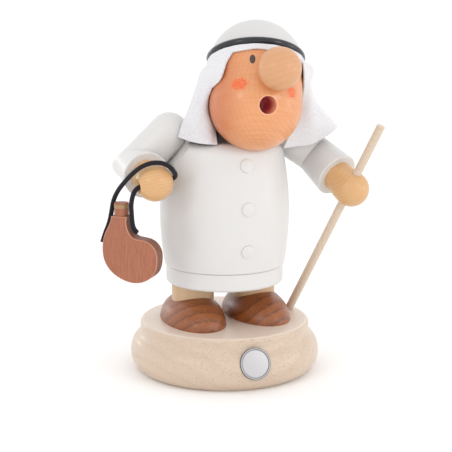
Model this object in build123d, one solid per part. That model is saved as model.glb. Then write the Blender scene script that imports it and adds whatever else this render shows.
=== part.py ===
"""A turned wooden incense smoker: a robed desert traveller with staff and flask, on a round plinth.

Frame: millimetres, +Z up, origin at the middle of the plinth's underside. The figure faces -Y,
and +X is the figure's left-hand side. The robe with head and arms lifts straight off the hem
block, so that a cone can be set on the tray. The flask swings on its strap.
"""
import math
import os

from build123d import *

# Fits and cuts
overrun = 1.0               # how far a cutting tool runs past the face that it cuts
cutter_size = 120.0         # side of the blocks that saw a flat or a mitre
seam_gap = 0.15             # open seam where the robe rests over the hem block
lift_clearance = 0.25       # radial play of the robe on the hem block's spigot
dowel_radius = 3.0          # stout dowels in the legs and the cap
arm_dowel_radius = 2.0      # thin dowels in the arms
seat_play = 0.05            # a turned piece in its drilled seat
dowel_end_gap = 0.4         # room for glue past each dowel's end

# Plinth
plinth_height = 24.6
plinth_top_radius = 41.0
plinth_bulge_radius = 45.8
plinth_bulge_height = 8.6
plinth_foot_radius = 40.5
plinth_rim_rounding = 1.8
plinth_rim_height = 3.6     # depth of the upright band under the top face
plinth_cove_drop = 4.6      # how far the cove under the band runs down

# Plain badge on the plinth
badge_radius = 7.4
badge_thickness = 1.2
badge_tilt = 18.0           # degrees that its face leans back
badge_turn = 2.4            # degrees that it sits to the figure's right of the front
badge_height = 13.4
badge_seat_reach = 43.9     # from the middle to the badge's seat
badge_edge_rounding = 0.3
badge_pin_radius = 0.8
badge_pin_length = 7.0
badge_rim_width = 1.1
badge_rim_depth = 0.4

# Shoes and legs
shoe_length = 51.0
shoe_width = 29.2
shoe_height = 13.6
shoe_spread = 16.4          # from the middle to each shoe's centre
shoe_back = 0.1
shoe_turn = 1.5             # degrees that each toe points outward
leg_radius = 10.15
leg_spread = 15.9
leg_back = 1.2
leg_seat_depth = 6.6        # how deep the leg stands in the shoe
leg_height = 18.8           # from the plinth's top to the underside of the hem block
leg_dowel_reach = 9.0       # how far a dowel runs into the plinth
hem_dowel_reach = 6.0       # and into the hem block

# Hem block, the lower body
hem_radius = 28.3
hem_height = 8.4
hem_rounding = 1.5
spigot_radius = 18.9
spigot_height = 4.0
air_hole_radius = 2.0
air_hole_reach = 15.0       # before and behind the tray

# Tray for the cone
tray_radius = 11.0
tray_height = 3.0
tray_wall = 0.5
tray_floor_radius = 8.4
tray_pin_radius = 0.9
tray_pin_length = 7.0
tray_pin_head_radius = 2.0
tray_pin_head_height = 0.6

# Robe, the upper body
robe_height = 60.1          # from its lower edge to the flat top
robe_foot_radius = 28.9
robe_belly_radius = 31.05
robe_belly_height = 28.0    # height of the widest place above the lower edge
robe_top_radius = 26.7      # before the shoulder edge is rounded
robe_shoulder_rounding = 6.0
robe_foot_rounding = 0.8
chamber_height = 45.0
shoulder_flat_tilt = 33.2   # degrees that the sawn flats lean in from upright
shoulder_flat_reach = 21.5  # where a flat meets the top face

# Buttons
button_radius = 3.1
button_height = 1.1
button_pin_radius = 1.0
button_pin_length = 4.0
button_count = 3
button_spacing = 19.9
button_seat_depth = 0.2
button_edge_share = 0.55    # height of the button's edge
button_drop = 9.4           # the first button below the robe's top

# Arms: shoulder, elbow and hand on each side, angles in degrees
shoulder_reach = 27.2
shoulder_back = 1.4
shoulder_rise = 4.0         # above the robe's top
arm_shoulder_radius = 9.4
arm_elbow_radius = 9.3
cuff_radius = 11.0
cuff_rounding = 0.6
hand_radius = 8.5
wrist_radius = 7.5
hand_reach = 11.2           # from the cuff's face to the middle of the hand's ball
hand_socket_depth = 5.0
shoulder_dowel_drop = 5.0   # along the arm from the shoulder's middle
mitre_overlap = 16.0        # stock past the elbow before the mitre is sawn
elbow_dowel_reach = 7.0
shoulder_dowel_reach = 7.0
right_upper_arm_length = 22.1
left_upper_arm_length = 23.37
upper_arm_back = {"right": 18.5, "left": -10.7}
upper_arm_fall = {"right": 44.86, "left": 34.33}
right_sleeve_length = 16.0
left_sleeve_length = 18.6
sleeve_out = {"right": -1.2, "left": 17.5}
sleeve_fall = {"right": 9.2, "left": 28.2}
side_sign = {"right": -1.0, "left": 1.0}
upper_arm_length = {"right": right_upper_arm_length, "left": left_upper_arm_length}
sleeve_length = {"right": right_sleeve_length, "left": left_sleeve_length}

# Staff
staff_radius = 2.0
staff_length = 107.5
staff_foot_x = 34.9
staff_foot_y = 1.4
staff_foot_gap = 0.1
staff_play = 0.04
staff_hand_offset = 1.1     # the hole passes this far inside the hand's middle

# Head
head_radius = 21.4
head_length = 17.8          # from the middle of the chin's ball to the middle of the cap's ball
head_left = 5.9
head_forward = 24.7
head_rise = 18.4            # the chin's middle above the robe's top
head_pitch = 24.5           # degrees that the face looks up
head_roll = 9.5             # degrees that the head leans to the figure's left
head_turn = 6.0             # degrees that the face looks to the figure's right
head_seat_gap = 0.02
nose_radius = 9.6
nose_reach = 28.5           # from the head's axis to the nose's middle
nose_height = 6.3           # above the chin's middle, along the head's axis
nose_turn = 3.4             # degrees to the figure's left of the face's middle
nose_tenon_radius = 3.0
nose_tenon_length = 7.0
mouth_radius = 4.0
mouth_fall = 21.5           # degrees below the chin ball's equator
mouth_turn = 2.0            # degrees to the figure's right of the face's middle
smoke_radius = 2.5
neck_radius = 4.5
neck_reach_in_head = 9.0
neck_cover = 3.0            # roof left under the neck tube's lower end
cap_radius = 21.8
ring_seat_height = 4.1      # the ring's plane above the middle of the cap's ball
ring_major_radius = 21.0
ring_minor_radius = 1.8
cap_dowel_reach = 8.0

# Headcloth
cloth_thickness = 0.8
cloth_fold_share = 1.06     # corners of the folds over the forehead strip
cloth_gap = 0.25
cloth_rest_gap = 0.3        # between the cloth and what it lies on
cloth_top_drop = 2.05       # the cloth's upper edge below the ring's plane
cloth_band_height = 3.6     # height of the strip across the forehead
cloth_opening = 46.0        # degrees each side where the face opening starts
cloth_brow_drop = 7.6       # second level below the band
cloth_jaw_height = -3.0     # third level, from the chin's middle
cloth_hem_height = -5.0     # hem level above the robe's top, before it is trimmed on the robe
cloth_hem_slope = 9.0       # degrees that the hem rises to the figure's left
cloth_hem_forward = 16.0    # the hem level's middle, forward of the robe's middle
# Radii round the head at the brow, from the figure's right edge round the back to the left edge
cloth_brow_shares = (1.07, 1.07, 1.08, 1.09, 1.10, 1.11, 1.12, 1.16, 1.26, 1.37, 1.35, 1.24, 1.12, 1.07)
cloth_brow_opening = 64.0
# Places round the head at the jaw and at the hem, across and back, as shares of the head's radius
cloth_jaw_shares = (
    (-1.08, 0.12), (-1.09, 0.40), (-1.08, 0.68), (-1.03, 0.92), (-0.87, 1.19), (-0.62, 1.42), (-0.10, 1.50),
    (0.54, 1.75), (1.24, 2.06), (1.67, 1.60), (1.86, 0.95), (1.90, 0.55), (1.50, 0.36), (1.09, 0.23))
cloth_hem_shares = (
    (-0.83, -0.24), (-1.15, 0.02), (-1.41, 0.36), (-1.15, 0.56), (-1.06, 0.89), (-1.08, 1.31), (-0.66, 1.68),
    (0.00, 1.87), (0.76, 1.82), (1.47, 1.59), (2.08, 1.12), (2.27, 0.23), (1.61, 0.03), (0.85, 0.16))

# Flask
flask_thickness = 8.0
flask_turn = 38.0           # degrees that its face looks to the figure's right
flask_rounding = 0.5
flask_left = -52.6
flask_back = -20.4
flask_rise = 65.85
stopper_radius = 3.3
stopper_height = 5.9
stopper_seat_depth = 3.0
stopper_tenon_radius = 2.0
stopper_across = -6.35
band_height = 1.7
band_thickness = 0.25
band_proud = 0.1
band_drop = 0.7             # the band's upper edge below the stopper's top
flask_neck_height = 15.1
flask_neck_left = -10.0
flask_neck_right = -2.4
flask_depth = 15.2          # from the flask's middle down to its lowest place
# Outline from the neck's left corner down, round the belly and up to its right corner, as shares
# of that depth
flask_belly_shares = (
    (-0.704, 0.803), (-0.888, 0.414), (-0.961, 0.026), (-0.914, -0.355), (-0.737, -0.658),
    (-0.428, -0.888), (-0.105, -1.0), (0.171, -1.007), (0.467, -0.901), (0.697, -0.684),
    (0.789, -0.355), (0.763, -0.033), (0.566, 0.224), (0.289, 0.316), (0.039, 0.368),
    (-0.138, 0.599))

# Strap
strap_radius = 1.1
strap_hole_gap = 0.5
strap_hole_tilt = 8.0       # degrees that the hole through the hand falls outward
strap_flare_radius = 4.8    # widened mouths of that hole, past its end
strap_flare_depth = 2.8
strap_reach = 100.0         # the length that the route's places are shares of
# Route from the flask's left side over the hand, through it and down to the flask's right shoulder
strap_route_shares = (
    (-0.6296, -0.0824, 0.68), (-0.6153, -0.0746, 0.72), (-0.5973, -0.0849, 0.767), (-0.5908, -0.1026, 0.818),
    (-0.578, -0.091, 0.872), (-0.563, -0.118, 0.922), (-0.54, -0.159, 0.968), (-0.516, -0.199, 1.009),
    (-0.485, -0.228, 1.041), (-0.448, -0.247, 1.058), (-0.413, -0.256, 1.06), (-0.38, -0.259, 1.052),
    (-0.346, -0.251, 1.028), (-0.312, -0.217, 0.982), (-0.372, -0.204, 0.967), (-0.45, -0.205, 0.9562),
    (-0.509, -0.205, 0.94), (-0.523, -0.188, 0.873), (-0.519, -0.182, 0.825), (-0.516, -0.18, 0.78),
    (-0.506, -0.175, 0.746), (-0.4914, -0.1727, 0.7325))
strap_arc_share = 0.45      # each bend's tangent length as a share of the shorter run

# Heights and frames that follow from the sizes above
leg_top = plinth_height + leg_height
hem_top = leg_top + hem_height
robe_bottom = hem_top + seam_gap
robe_top = robe_bottom + robe_height
chamber_radius = spigot_radius + lift_clearance
chamber_top = robe_bottom + chamber_height


def turned(*edges):
    """Spins a closed half outline about the Z axis."""
    return revolve(make_face(edges), Axis.Z)


def at(radius, height):
    """A point of a half outline."""
    return Vector(radius, 0, height)


def rod(start, end, radius):
    """A round bar between two points."""
    run = Vector(*end) - Vector(*start)
    frame = Plane(origin=start, z_dir=run)
    return frame * Cylinder(radius, run.length, align=(Align.CENTER, Align.CENTER, Align.MIN))


def block_beyond(origin, direction):
    """A block that fills the space beyond a plane."""
    frame = Plane(origin=origin, z_dir=direction)
    return frame * Box(cutter_size, cutter_size, cutter_size, align=(Align.CENTER, Align.CENTER, Align.MIN))


def heading(out, fall, sign):
    """A direction that goes forward, turned outward and falling by the given angles."""
    out_angle = math.radians(out)
    fall_angle = math.radians(fall)
    level = math.cos(fall_angle)
    return Vector(sign * math.sin(out_angle) * level, -math.cos(out_angle) * level, -math.sin(fall_angle))


def sideways(back, fall, sign):
    """A direction that goes to one side, turned backward and falling by the given angles."""
    back_angle = math.radians(back)
    fall_angle = math.radians(fall)
    level = math.cos(fall_angle)
    return Vector(sign * math.cos(back_angle) * level, math.sin(back_angle) * level, -math.sin(fall_angle))


# Plinth, its badge and the badge's pin
def plinth_outline():
    """Edges of the plinth's half outline."""
    band_bottom = plinth_height - plinth_rim_height
    cove_end = band_bottom - plinth_cove_drop
    cove_reach = (plinth_bulge_radius - plinth_top_radius) / 2
    foot = at(plinth_foot_radius, 0)
    bulge = at(plinth_bulge_radius, plinth_bulge_height)
    cove_out = at(plinth_top_radius + cove_reach, cove_end)
    band = at(plinth_top_radius, band_bottom)
    rim = at(plinth_top_radius, plinth_height - plinth_rim_rounding)
    top = at(plinth_top_radius - plinth_rim_rounding, plinth_height)
    return [
        Line(at(0, 0), foot),
        TangentArc(bulge, foot, tangent=(0, 0, -1)),
        Spline(bulge, cove_out, band, tangents=((0, 0, 1), (0, 0, 1))),
        Line(band, rim),
        TangentArc(rim, top, tangent=(0, 0, 1)),
        Line(top, at(0, plinth_height)),
        Line(at(0, plinth_height), at(0, 0)),
    ]


badge_lean = math.radians(badge_tilt)
badge_out = Vector(0, -1, 0).rotate(Axis.Z, -badge_turn)
badge_normal = badge_out * math.cos(badge_lean) + Vector(0, 0, math.sin(badge_lean))
badge_seat = badge_out * badge_seat_reach + Vector(0, 0, badge_height)
badge_frame = Plane(origin=badge_seat, x_dir=Vector(0, 0, 1).cross(badge_normal), z_dir=badge_normal)
on_face = (Align.CENTER, Align.CENTER, Align.MIN)
under_face = (Align.CENTER, Align.CENTER, Align.MAX)


def leg_places():
    """The middle of each leg, right and left."""
    return [(sign * leg_spread, leg_back) for sign in (-1, 1)]


plinth = turned(*plinth_outline())
plinth -= badge_frame * Cylinder(badge_radius + seat_play, badge_radius, align=on_face)
plinth -= badge_frame * Cylinder(badge_pin_radius, badge_pin_length + dowel_end_gap, align=under_face)
for x, y in leg_places():
    socket_depth = leg_dowel_reach + dowel_end_gap
    plinth -= Pos(x, y, plinth_height) * Cylinder(dowel_radius, socket_depth, align=under_face)

badge = Cylinder(badge_radius, badge_thickness, align=on_face)
badge = fillet(badge.edges().group_by(Axis.Z)[-1], badge_edge_rounding)
badge -= Pos(0, 0, badge_thickness) * Cylinder(badge_radius - badge_rim_width, badge_rim_depth, align=under_face)
badge += Cylinder(badge_pin_radius, badge_pin_length, align=under_face)
badge = badge_frame * badge


# Shoes, legs and the dowels that run through them
leg_bottom = plinth_height + shoe_height - leg_seat_depth


def make_shoe(sign):
    """Half an egg with a seat for the leg and a hole for its dowel."""
    egg = scale(Sphere(shoe_height), by=(shoe_width / shoe_height / 2, shoe_length / shoe_height / 2, 1))
    egg -= Box(cutter_size, cutter_size, shoe_height + overrun, align=under_face)
    shoe = Pos(sign * shoe_spread, shoe_back, plinth_height) * Rot(Z=sign * shoe_turn) * egg
    leg_middle = (sign * leg_spread, leg_back)
    shoe -= Pos(*leg_middle, leg_bottom) * Cylinder(leg_radius, shoe_height, align=on_face)
    shoe -= Pos(*leg_middle, plinth_height - overrun) * Cylinder(dowel_radius, shoe_height, align=on_face)
    return shoe


def make_leg(sign):
    """A plain round leg with a dowel hole right through."""
    length = leg_top - leg_bottom
    leg = Cylinder(leg_radius, length, align=on_face) - Cylinder(dowel_radius, length, align=on_face)
    return Pos(sign * leg_spread, leg_back, leg_bottom) * leg


def leg_dowel(x, y):
    """One dowel from the plinth through shoe and leg into the hem block."""
    bottom = plinth_height - leg_dowel_reach
    return rod((x, y, bottom), (x, y, leg_top + hem_dowel_reach), dowel_radius)


# Hem block with its spigot, and the tray for the cone
hem_block = Cylinder(hem_radius, hem_height, align=on_face)
hem_block = fillet(hem_block.edges().group_by(Axis.Z)[0], hem_rounding)
hem_block += Pos(0, 0, hem_height) * Cylinder(spigot_radius, spigot_height, align=on_face)
hem_block = Pos(0, 0, leg_top) * hem_block
for x, y in leg_places():
    hem_block -= Pos(x, y, leg_top) * Cylinder(dowel_radius, hem_dowel_reach + dowel_end_gap, align=on_face)
tray_floor = hem_top + spigot_height
hem_block -= Pos(0, 0, tray_floor) * Cylinder(tray_pin_radius, tray_pin_length + dowel_end_gap, align=under_face)
for sign in (-1, 1):
    air_hole = Cylinder(air_hole_radius, cutter_size)
    hem_block -= Pos(0, sign * air_hole_reach, hem_top) * air_hole

tray = turned(
    Line(at(0, 0), at(tray_floor_radius, 0)),
    Line(at(tray_floor_radius, 0), at(tray_radius, tray_height)),
    Line(at(tray_radius, tray_height), at(tray_radius - tray_wall, tray_height)),
    Line(at(tray_radius - tray_wall, tray_height), at(tray_floor_radius - tray_wall / 2, tray_wall)),
    Line(at(tray_floor_radius - tray_wall / 2, tray_wall), at(0, tray_wall)),
    Line(at(0, tray_wall), at(0, 0)),
)
tray -= Cylinder(tray_pin_radius, tray_height)
tray = Pos(0, 0, tray_floor) * tray
tray_pin = Pos(0, 0, tray_wall) * Cylinder(tray_pin_head_radius, tray_pin_head_height, align=on_face)
tray_pin += Pos(0, 0, tray_wall) * Cylinder(tray_pin_radius, tray_pin_length, align=under_face)
tray_pin = Pos(0, 0, tray_floor) * tray_pin


# Robe: a barrel with a rounded shoulder edge, two sawn flats and the smoke chamber
belly_arc = ThreePointArc(
    at(robe_foot_radius, robe_bottom),
    at(robe_belly_radius, robe_bottom + robe_belly_height),
    at(robe_top_radius, robe_top),
)
belly_middle = belly_arc.arc_center


def barrel_radius(height):
    """Radius of the robe's barrel at a height."""
    return belly_middle.X + math.sqrt(belly_arc.radius ** 2 - (height - belly_middle.Z) ** 2)


robe_stock = turned(
    Line(at(0, robe_bottom), at(robe_foot_radius, robe_bottom)),
    belly_arc,
    Line(at(robe_top_radius, robe_top), at(0, robe_top)),
    Line(at(0, robe_top), at(0, robe_bottom)),
)
robe_stock = fillet(robe_stock.edges().group_by(Axis.Z)[-1], robe_shoulder_rounding)
robe = fillet(robe_stock.edges().group_by(Axis.Z)[0], robe_foot_rounding)
robe -= Pos(0, 0, robe_bottom) * Cylinder(chamber_radius, chamber_height, align=on_face)

flat_lean = math.radians(shoulder_flat_tilt)


def flat_normal(sign):
    """Outward direction of the sawn flat on one side."""
    return Vector(sign * math.cos(flat_lean), 0, math.sin(flat_lean))


def flat_origin(sign):
    """The place where the sawn flat on one side meets the top face."""
    return Vector(sign * shoulder_flat_reach, 0, robe_top)


for sign in (-1, 1):
    robe -= block_beyond(flat_origin(sign), flat_normal(sign))


# Head frame: along the head, out of the face, and to the figure's left
def head_direction(turn, fall):
    """A direction out of the head, turned to the figure's left and falling from its equator."""
    turn_angle = math.radians(turn)
    fall_angle = math.radians(fall)
    level = head_front * math.cos(turn_angle) + head_side * math.sin(turn_angle)
    return level * math.cos(fall_angle) - head_axis * math.sin(fall_angle)


pitch = math.radians(head_pitch)
roll = math.radians(head_roll)
turn = math.radians(head_turn)
head_axis = Vector(math.sin(roll), math.sin(pitch), math.cos(pitch)).normalized()
level_front = Vector(-math.sin(turn), -math.cos(turn), 0)
head_front = (level_front - head_axis * level_front.dot(head_axis)).normalized()
head_side = head_axis.cross(head_front)
chin_middle = Vector(head_left, -head_forward, robe_top + head_rise)
cap_middle = chin_middle + head_axis * head_length
ring_middle = cap_middle + head_axis * ring_seat_height
nose_middle = chin_middle + head_axis * nose_height + head_direction(nose_turn, 0) * nose_reach

# Smoke channel: chamber, neck tube, chin and mouth
channel_start = Vector(0, 0, chamber_top)
channel_way = (chin_middle - channel_start).normalized()
neck_start = channel_start + channel_way * neck_cover
neck_end = chin_middle - channel_way * (head_radius - neck_reach_in_head)
mouth_way = head_direction(-mouth_turn, mouth_fall)

robe -= Pos(*chin_middle) * Sphere(head_radius + head_seat_gap)
robe -= rod(channel_start - channel_way * overrun, chin_middle, smoke_radius)
robe -= rod(neck_start, chin_middle, neck_radius)

neck_tube = rod(neck_start, neck_end, neck_radius) - rod(channel_start, chin_middle, smoke_radius)


def make_ring():
    """The black ring that holds the headcloth."""
    frame = Plane(origin=ring_middle, z_dir=head_axis)
    return frame * Torus(ring_major_radius, ring_minor_radius)


head_ring = make_ring()
cap_dowel = rod(
    ring_middle - head_axis * cap_dowel_reach, ring_middle + head_axis * cap_dowel_reach, dowel_radius)
cap_dowel_hole = rod(
    ring_middle - head_axis * (cap_dowel_reach + dowel_end_gap),
    ring_middle + head_axis * (cap_dowel_reach + dowel_end_gap), dowel_radius)


def head_stock(radius):
    """The head's plain form: a cylinder with a ball for the chin."""
    return Pos(*chin_middle) * Sphere(radius) + rod(chin_middle, ring_middle, radius)


head = head_stock(head_radius)
head -= Pos(*nose_middle) * Sphere(nose_radius)
head -= rod(nose_middle, nose_middle - head_direction(nose_turn, 0) * (
    nose_radius + nose_tenon_length + dowel_end_gap), nose_tenon_radius)
head -= rod(chin_middle, chin_middle + mouth_way * (head_radius + overrun), mouth_radius)
head -= rod(neck_start, chin_middle, smoke_radius)
head -= rod(neck_start, neck_end, neck_radius)
head -= head_ring
head -= cap_dowel_hole

nose = Pos(*nose_middle) * Sphere(nose_radius)
nose += rod(nose_middle, nose_middle - head_direction(nose_turn, 0) * (
    nose_radius + nose_tenon_length), nose_tenon_radius)

cap = Pos(*cap_middle) * Sphere(cap_radius)
cap -= block_beyond(ring_middle, -head_axis)
cap -= head_ring
cap -= cap_dowel_hole


# Arms, from the sawn flat over the mitred elbow to the hand
def arm_frames(side):
    """Shoulder, elbow, cuff and hand places with the two directions between them."""
    sign = side_sign[side]
    shoulder = Vector(sign * shoulder_reach, shoulder_back, robe_top + shoulder_rise)
    along = sideways(upper_arm_back[side], upper_arm_fall[side], sign)
    elbow = shoulder + along * upper_arm_length[side]
    forward = heading(sleeve_out[side], sleeve_fall[side], sign)
    cuff = elbow + forward * sleeve_length[side]
    hand = cuff + forward * hand_reach
    return shoulder, along, elbow, forward, cuff, hand


def make_upper_arm(side):
    """A tapered round arm with a ball end, sawn to the robe's flat and mitred at the elbow."""
    shoulder, along, elbow, forward, _, _ = arm_frames(side)
    stock = upper_arm_length[side] + mitre_overlap
    taper = (arm_elbow_radius - arm_shoulder_radius) / upper_arm_length[side]
    end_radius = arm_shoulder_radius + taper * stock
    arm = Plane(origin=shoulder, z_dir=along) * Cone(arm_shoulder_radius, end_radius, stock, align=on_face)
    arm += Pos(*shoulder) * Sphere(arm_shoulder_radius)
    sign = side_sign[side]
    arm -= block_beyond(flat_origin(sign), -flat_normal(sign))
    return arm - block_beyond(elbow, along + forward)


def make_sleeve(side):
    """A sleeve that flares to the cuff, mitred at the elbow and bored for the hand."""
    _, along, elbow, forward, cuff, _ = arm_frames(side)
    length = sleeve_length[side]
    sleeve = turned(
        Line(at(0, -mitre_overlap), at(arm_elbow_radius, -mitre_overlap)),
        Line(at(arm_elbow_radius, -mitre_overlap), at(arm_elbow_radius, 0)),
        Line(at(arm_elbow_radius, 0), at(cuff_radius, length)),
        Line(at(cuff_radius, length), at(0, length)),
        Line(at(0, length), at(0, -mitre_overlap)),
    )
    sleeve = fillet(sleeve.edges().group_by(Axis.Z)[-1], cuff_rounding)
    sleeve -= Pos(0, 0, length) * Cylinder(wrist_radius, hand_socket_depth, align=under_face)
    sleeve = Plane(origin=elbow, z_dir=forward) * sleeve
    return sleeve - block_beyond(elbow, -(along + forward))


def make_hand(side):
    """A round hand: a wrist that swells into a ball."""
    _, _, _, forward, cuff, _ = arm_frames(side)
    ball_end = at(0, hand_reach + hand_radius)
    swell = at((wrist_radius + hand_radius) / 2, hand_reach / 2)
    hand = turned(
        Line(at(0, -hand_socket_depth), at(wrist_radius, -hand_socket_depth)),
        Line(at(wrist_radius, -hand_socket_depth), at(wrist_radius, 0)),
        Spline(at(wrist_radius, 0), swell, at(hand_radius, hand_reach), tangents=((0, 0, 1), (0, 0, 1))),
        TangentArc(at(hand_radius, hand_reach), ball_end, tangent=(0, 0, 1)),
        Line(ball_end, at(0, -hand_socket_depth)),
    )
    return Plane(origin=cuff, z_dir=forward) * hand


def shoulder_dowel(side, extra):
    """The dowel from the robe into the upper arm, or its hole when extra is its end room."""
    sign = side_sign[side]
    shoulder, along, _, _, _, _ = arm_frames(side)
    normal = flat_normal(sign)
    inside_arm = shoulder + along * shoulder_dowel_drop
    on_flat = inside_arm - normal * (inside_arm - flat_origin(sign)).dot(normal)
    reach = normal * (shoulder_dowel_reach + extra)
    return rod(on_flat - reach, on_flat + reach, arm_dowel_radius)


def elbow_dowel(side, extra):
    """The dowel across the elbow's mitre, or its hole when extra is its end room."""
    _, along, elbow, forward, _, _ = arm_frames(side)
    reach = (along + forward).normalized() * (elbow_dowel_reach + extra)
    return rod(elbow - reach, elbow + reach, arm_dowel_radius)


sides = ("right", "left")
upper_arms = {side: make_upper_arm(side) for side in sides}
sleeves = {side: make_sleeve(side) for side in sides}
hands = {side: make_hand(side) for side in sides}
for side in sides:
    shoulder_hole = shoulder_dowel(side, dowel_end_gap)
    elbow_hole = elbow_dowel(side, dowel_end_gap)
    robe -= shoulder_hole
    upper_arms[side] = upper_arms[side] - shoulder_hole - elbow_hole
    sleeves[side] = sleeves[side] - elbow_hole


# Buttons on shallow seats down the robe's front
def button_frames():
    """A frame on the robe's front for each button, its Z axis out of the robe."""
    frames = []
    for index in range(button_count):
        height = robe_top - button_drop - index * button_spacing
        lean = math.asin((height - belly_middle.Z) / belly_arc.radius)
        reach = barrel_radius(height) - button_seat_depth
        normal = Vector(0, -math.cos(lean), math.sin(lean))
        frames.append(Plane(origin=(0, -reach, height), x_dir=(1, 0, 0), z_dir=normal))
    return frames


def make_button(frame):
    """A turned button: a low dome with a pin behind it."""
    crown = at(0, button_height)
    edge = at(button_radius, button_height * button_edge_share)
    button = turned(
        Line(at(0, 0), at(button_radius, 0)),
        Line(at(button_radius, 0), edge),
        TangentArc(crown, edge, tangent=(1, 0, 0)),
        Line(crown, at(0, 0)),
    )
    button += Cylinder(button_pin_radius, button_pin_length, align=under_face)
    return frame * button


for frame in button_frames():
    robe -= frame * Cylinder(button_radius + seat_play, button_radius, align=on_face)
    robe -= frame * Cylinder(button_pin_radius, button_pin_length + dowel_end_gap, align=under_face)


# Staff, from the plinth's top through the left hand
staff_foot = Vector(staff_foot_x, staff_foot_y, plinth_height + staff_foot_gap)
staff_hand = arm_frames("left")[5] - Vector(staff_hand_offset, 0, 0)
staff_way = (staff_hand - staff_foot).normalized()
staff_top = staff_foot + staff_way * staff_length
staff = rod(staff_foot - staff_way * staff_radius * 2, staff_top, staff_radius)
staff -= block_beyond(staff_foot, (0, 0, -1))
hands["left"] -= rod(staff_foot, staff_top, staff_radius + staff_play)


# Headcloth: a strip round the forehead and the panels that hang from it
def level_points(origin, across, back, places):
    """Places in a level's plane, given across to the figure's left and back."""
    return [origin + across * x + back * y for x, y in places]


def ribbon(points, normal):
    """A thin face along a row of points, its outer edge on them and its inner edge inside them."""
    inner = []
    for index, point in enumerate(points):
        before = points[max(index - 1, 0)]
        after = points[min(index + 1, len(points) - 1)]
        inward = (after - before).normalized().cross(normal)
        inner.append(point + inward * cloth_thickness)
    return make_face(Polyline(*points, *reversed(inner), close=True))


cloth_outer = head_radius + cloth_gap + cloth_thickness
band_top = ring_middle - head_axis * cloth_top_drop
band_bottom = band_top - head_axis * cloth_band_height


def round_places(opening, shares):
    """Places round the head from the right edge round the back to the left edge."""
    places = []
    steps = len(shares) - 1
    for index, share in enumerate(shares):
        angle = math.radians(opening + (360 - 2 * opening) * index / steps)
        places.append((-math.sin(angle) * head_radius * share, -math.cos(angle) * head_radius * share))
    return places


hem_lean = math.radians(cloth_hem_slope)
hem_normal = Vector(-math.sin(hem_lean), 0, math.cos(hem_lean))
hem_across = Vector(math.cos(hem_lean), 0, math.sin(hem_lean))
brow_normal = (Vector(0, 0, 1) + head_axis).normalized()
brow_back = brow_normal.cross(head_side).normalized()
brow_across = brow_back.cross(brow_normal)
jaw_normal = (hem_normal * 2 + head_axis).normalized()
jaw_back = jaw_normal.cross(head_side).normalized()
jaw_across = jaw_back.cross(jaw_normal)
head_back = head_front * -1
jaw_middle = chin_middle + head_axis * cloth_jaw_height
hem_middle = Vector(head_left, -cloth_hem_forward, robe_top + cloth_hem_height)
brow_middle = band_bottom - head_axis * cloth_brow_drop
band_places = round_places(cloth_opening, [cloth_fold_share] * len(cloth_brow_shares))
brow_places = round_places(cloth_brow_opening, cloth_brow_shares)
jaw_places = [(x * head_radius, y * head_radius) for x, y in cloth_jaw_shares]
hem_places = [(x * head_radius, y * head_radius) for x, y in cloth_hem_shares]
cloth_levels = [
    ribbon(level_points(band_bottom, head_side, head_back, band_places), head_axis),
    ribbon(level_points(brow_middle, brow_across, brow_back, brow_places), brow_normal),
    ribbon(level_points(jaw_middle, jaw_across, jaw_back, jaw_places), jaw_normal),
    ribbon(level_points(hem_middle, hem_across, Vector(0, 1, 0), hem_places), hem_normal),
]
cloth_panels = loft(cloth_levels, ruled=True)
cloth_band = rod(band_bottom, band_top, cloth_outer) - rod(
    band_bottom - head_axis * overrun, band_top + head_axis * overrun, cloth_outer - cloth_thickness)
cloth_panels -= head_stock(head_radius + cloth_gap)
headcloth = cloth_panels + cloth_band
headcloth -= head_ring
headcloth -= offset(robe_stock, amount=cloth_rest_gap)


# Flask, stopper and band
flask_way = heading(-flask_turn, 0, 1)
flask_across = Vector(0, 0, 1).cross(flask_way)
flask_frame = Plane(origin=(flask_left, flask_back, flask_rise), x_dir=flask_across, z_dir=flask_way)
neck_left_corner = (flask_neck_left, flask_neck_height)
neck_right_corner = (flask_neck_right, flask_neck_height)
flask_belly = [(x * flask_depth, y * flask_depth) for x, y in flask_belly_shares]
flask_outline = make_face([
    Line(neck_right_corner, neck_left_corner),
    Spline(neck_left_corner, *flask_belly, neck_right_corner),
])
flask = extrude(flask_outline, flask_thickness)
flask = Pos(0, 0, -flask_thickness) * flask
flask = chamfer(flask.edges().filter_by(Plane.XY), flask_rounding)
flask = flask_frame * flask
neck_top = flask_frame.from_local_coords((stopper_across, flask_neck_height, -flask_thickness / 2))
stopper_foot = neck_top - Vector(0, 0, stopper_seat_depth)
stopper_top = neck_top + Vector(0, 0, stopper_height)
flask -= rod(stopper_foot - Vector(0, 0, dowel_end_gap), stopper_top, stopper_tenon_radius)
stopper = rod(neck_top, stopper_top, stopper_radius) + rod(stopper_foot, neck_top, stopper_tenon_radius)
band_top_place = stopper_top - Vector(0, 0, band_drop)
band_foot_place = band_top_place - Vector(0, 0, band_height)
band_core = rod(band_foot_place, band_top_place, stopper_radius - band_thickness)
stopper_band = rod(band_foot_place, band_top_place, stopper_radius + band_proud) - band_core
stopper -= rod(band_foot_place, band_top_place, stopper_radius + overrun) - band_core


# Strap: straight runs joined by tangent arcs, through the right hand
def bend_radii(route):
    """The arc at each inner point of a route, as large as its two runs allow."""
    radii = []
    for before, point, after in zip(route, route[1:], route[2:]):
        run_in = Vector(*point) - Vector(*before)
        run_out = Vector(*after) - Vector(*point)
        half_turn = math.radians(run_in.get_angle(run_out)) / 2
        radii.append(strap_arc_share * min(run_in.length, run_out.length) / math.tan(half_turn))
    return radii


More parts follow.
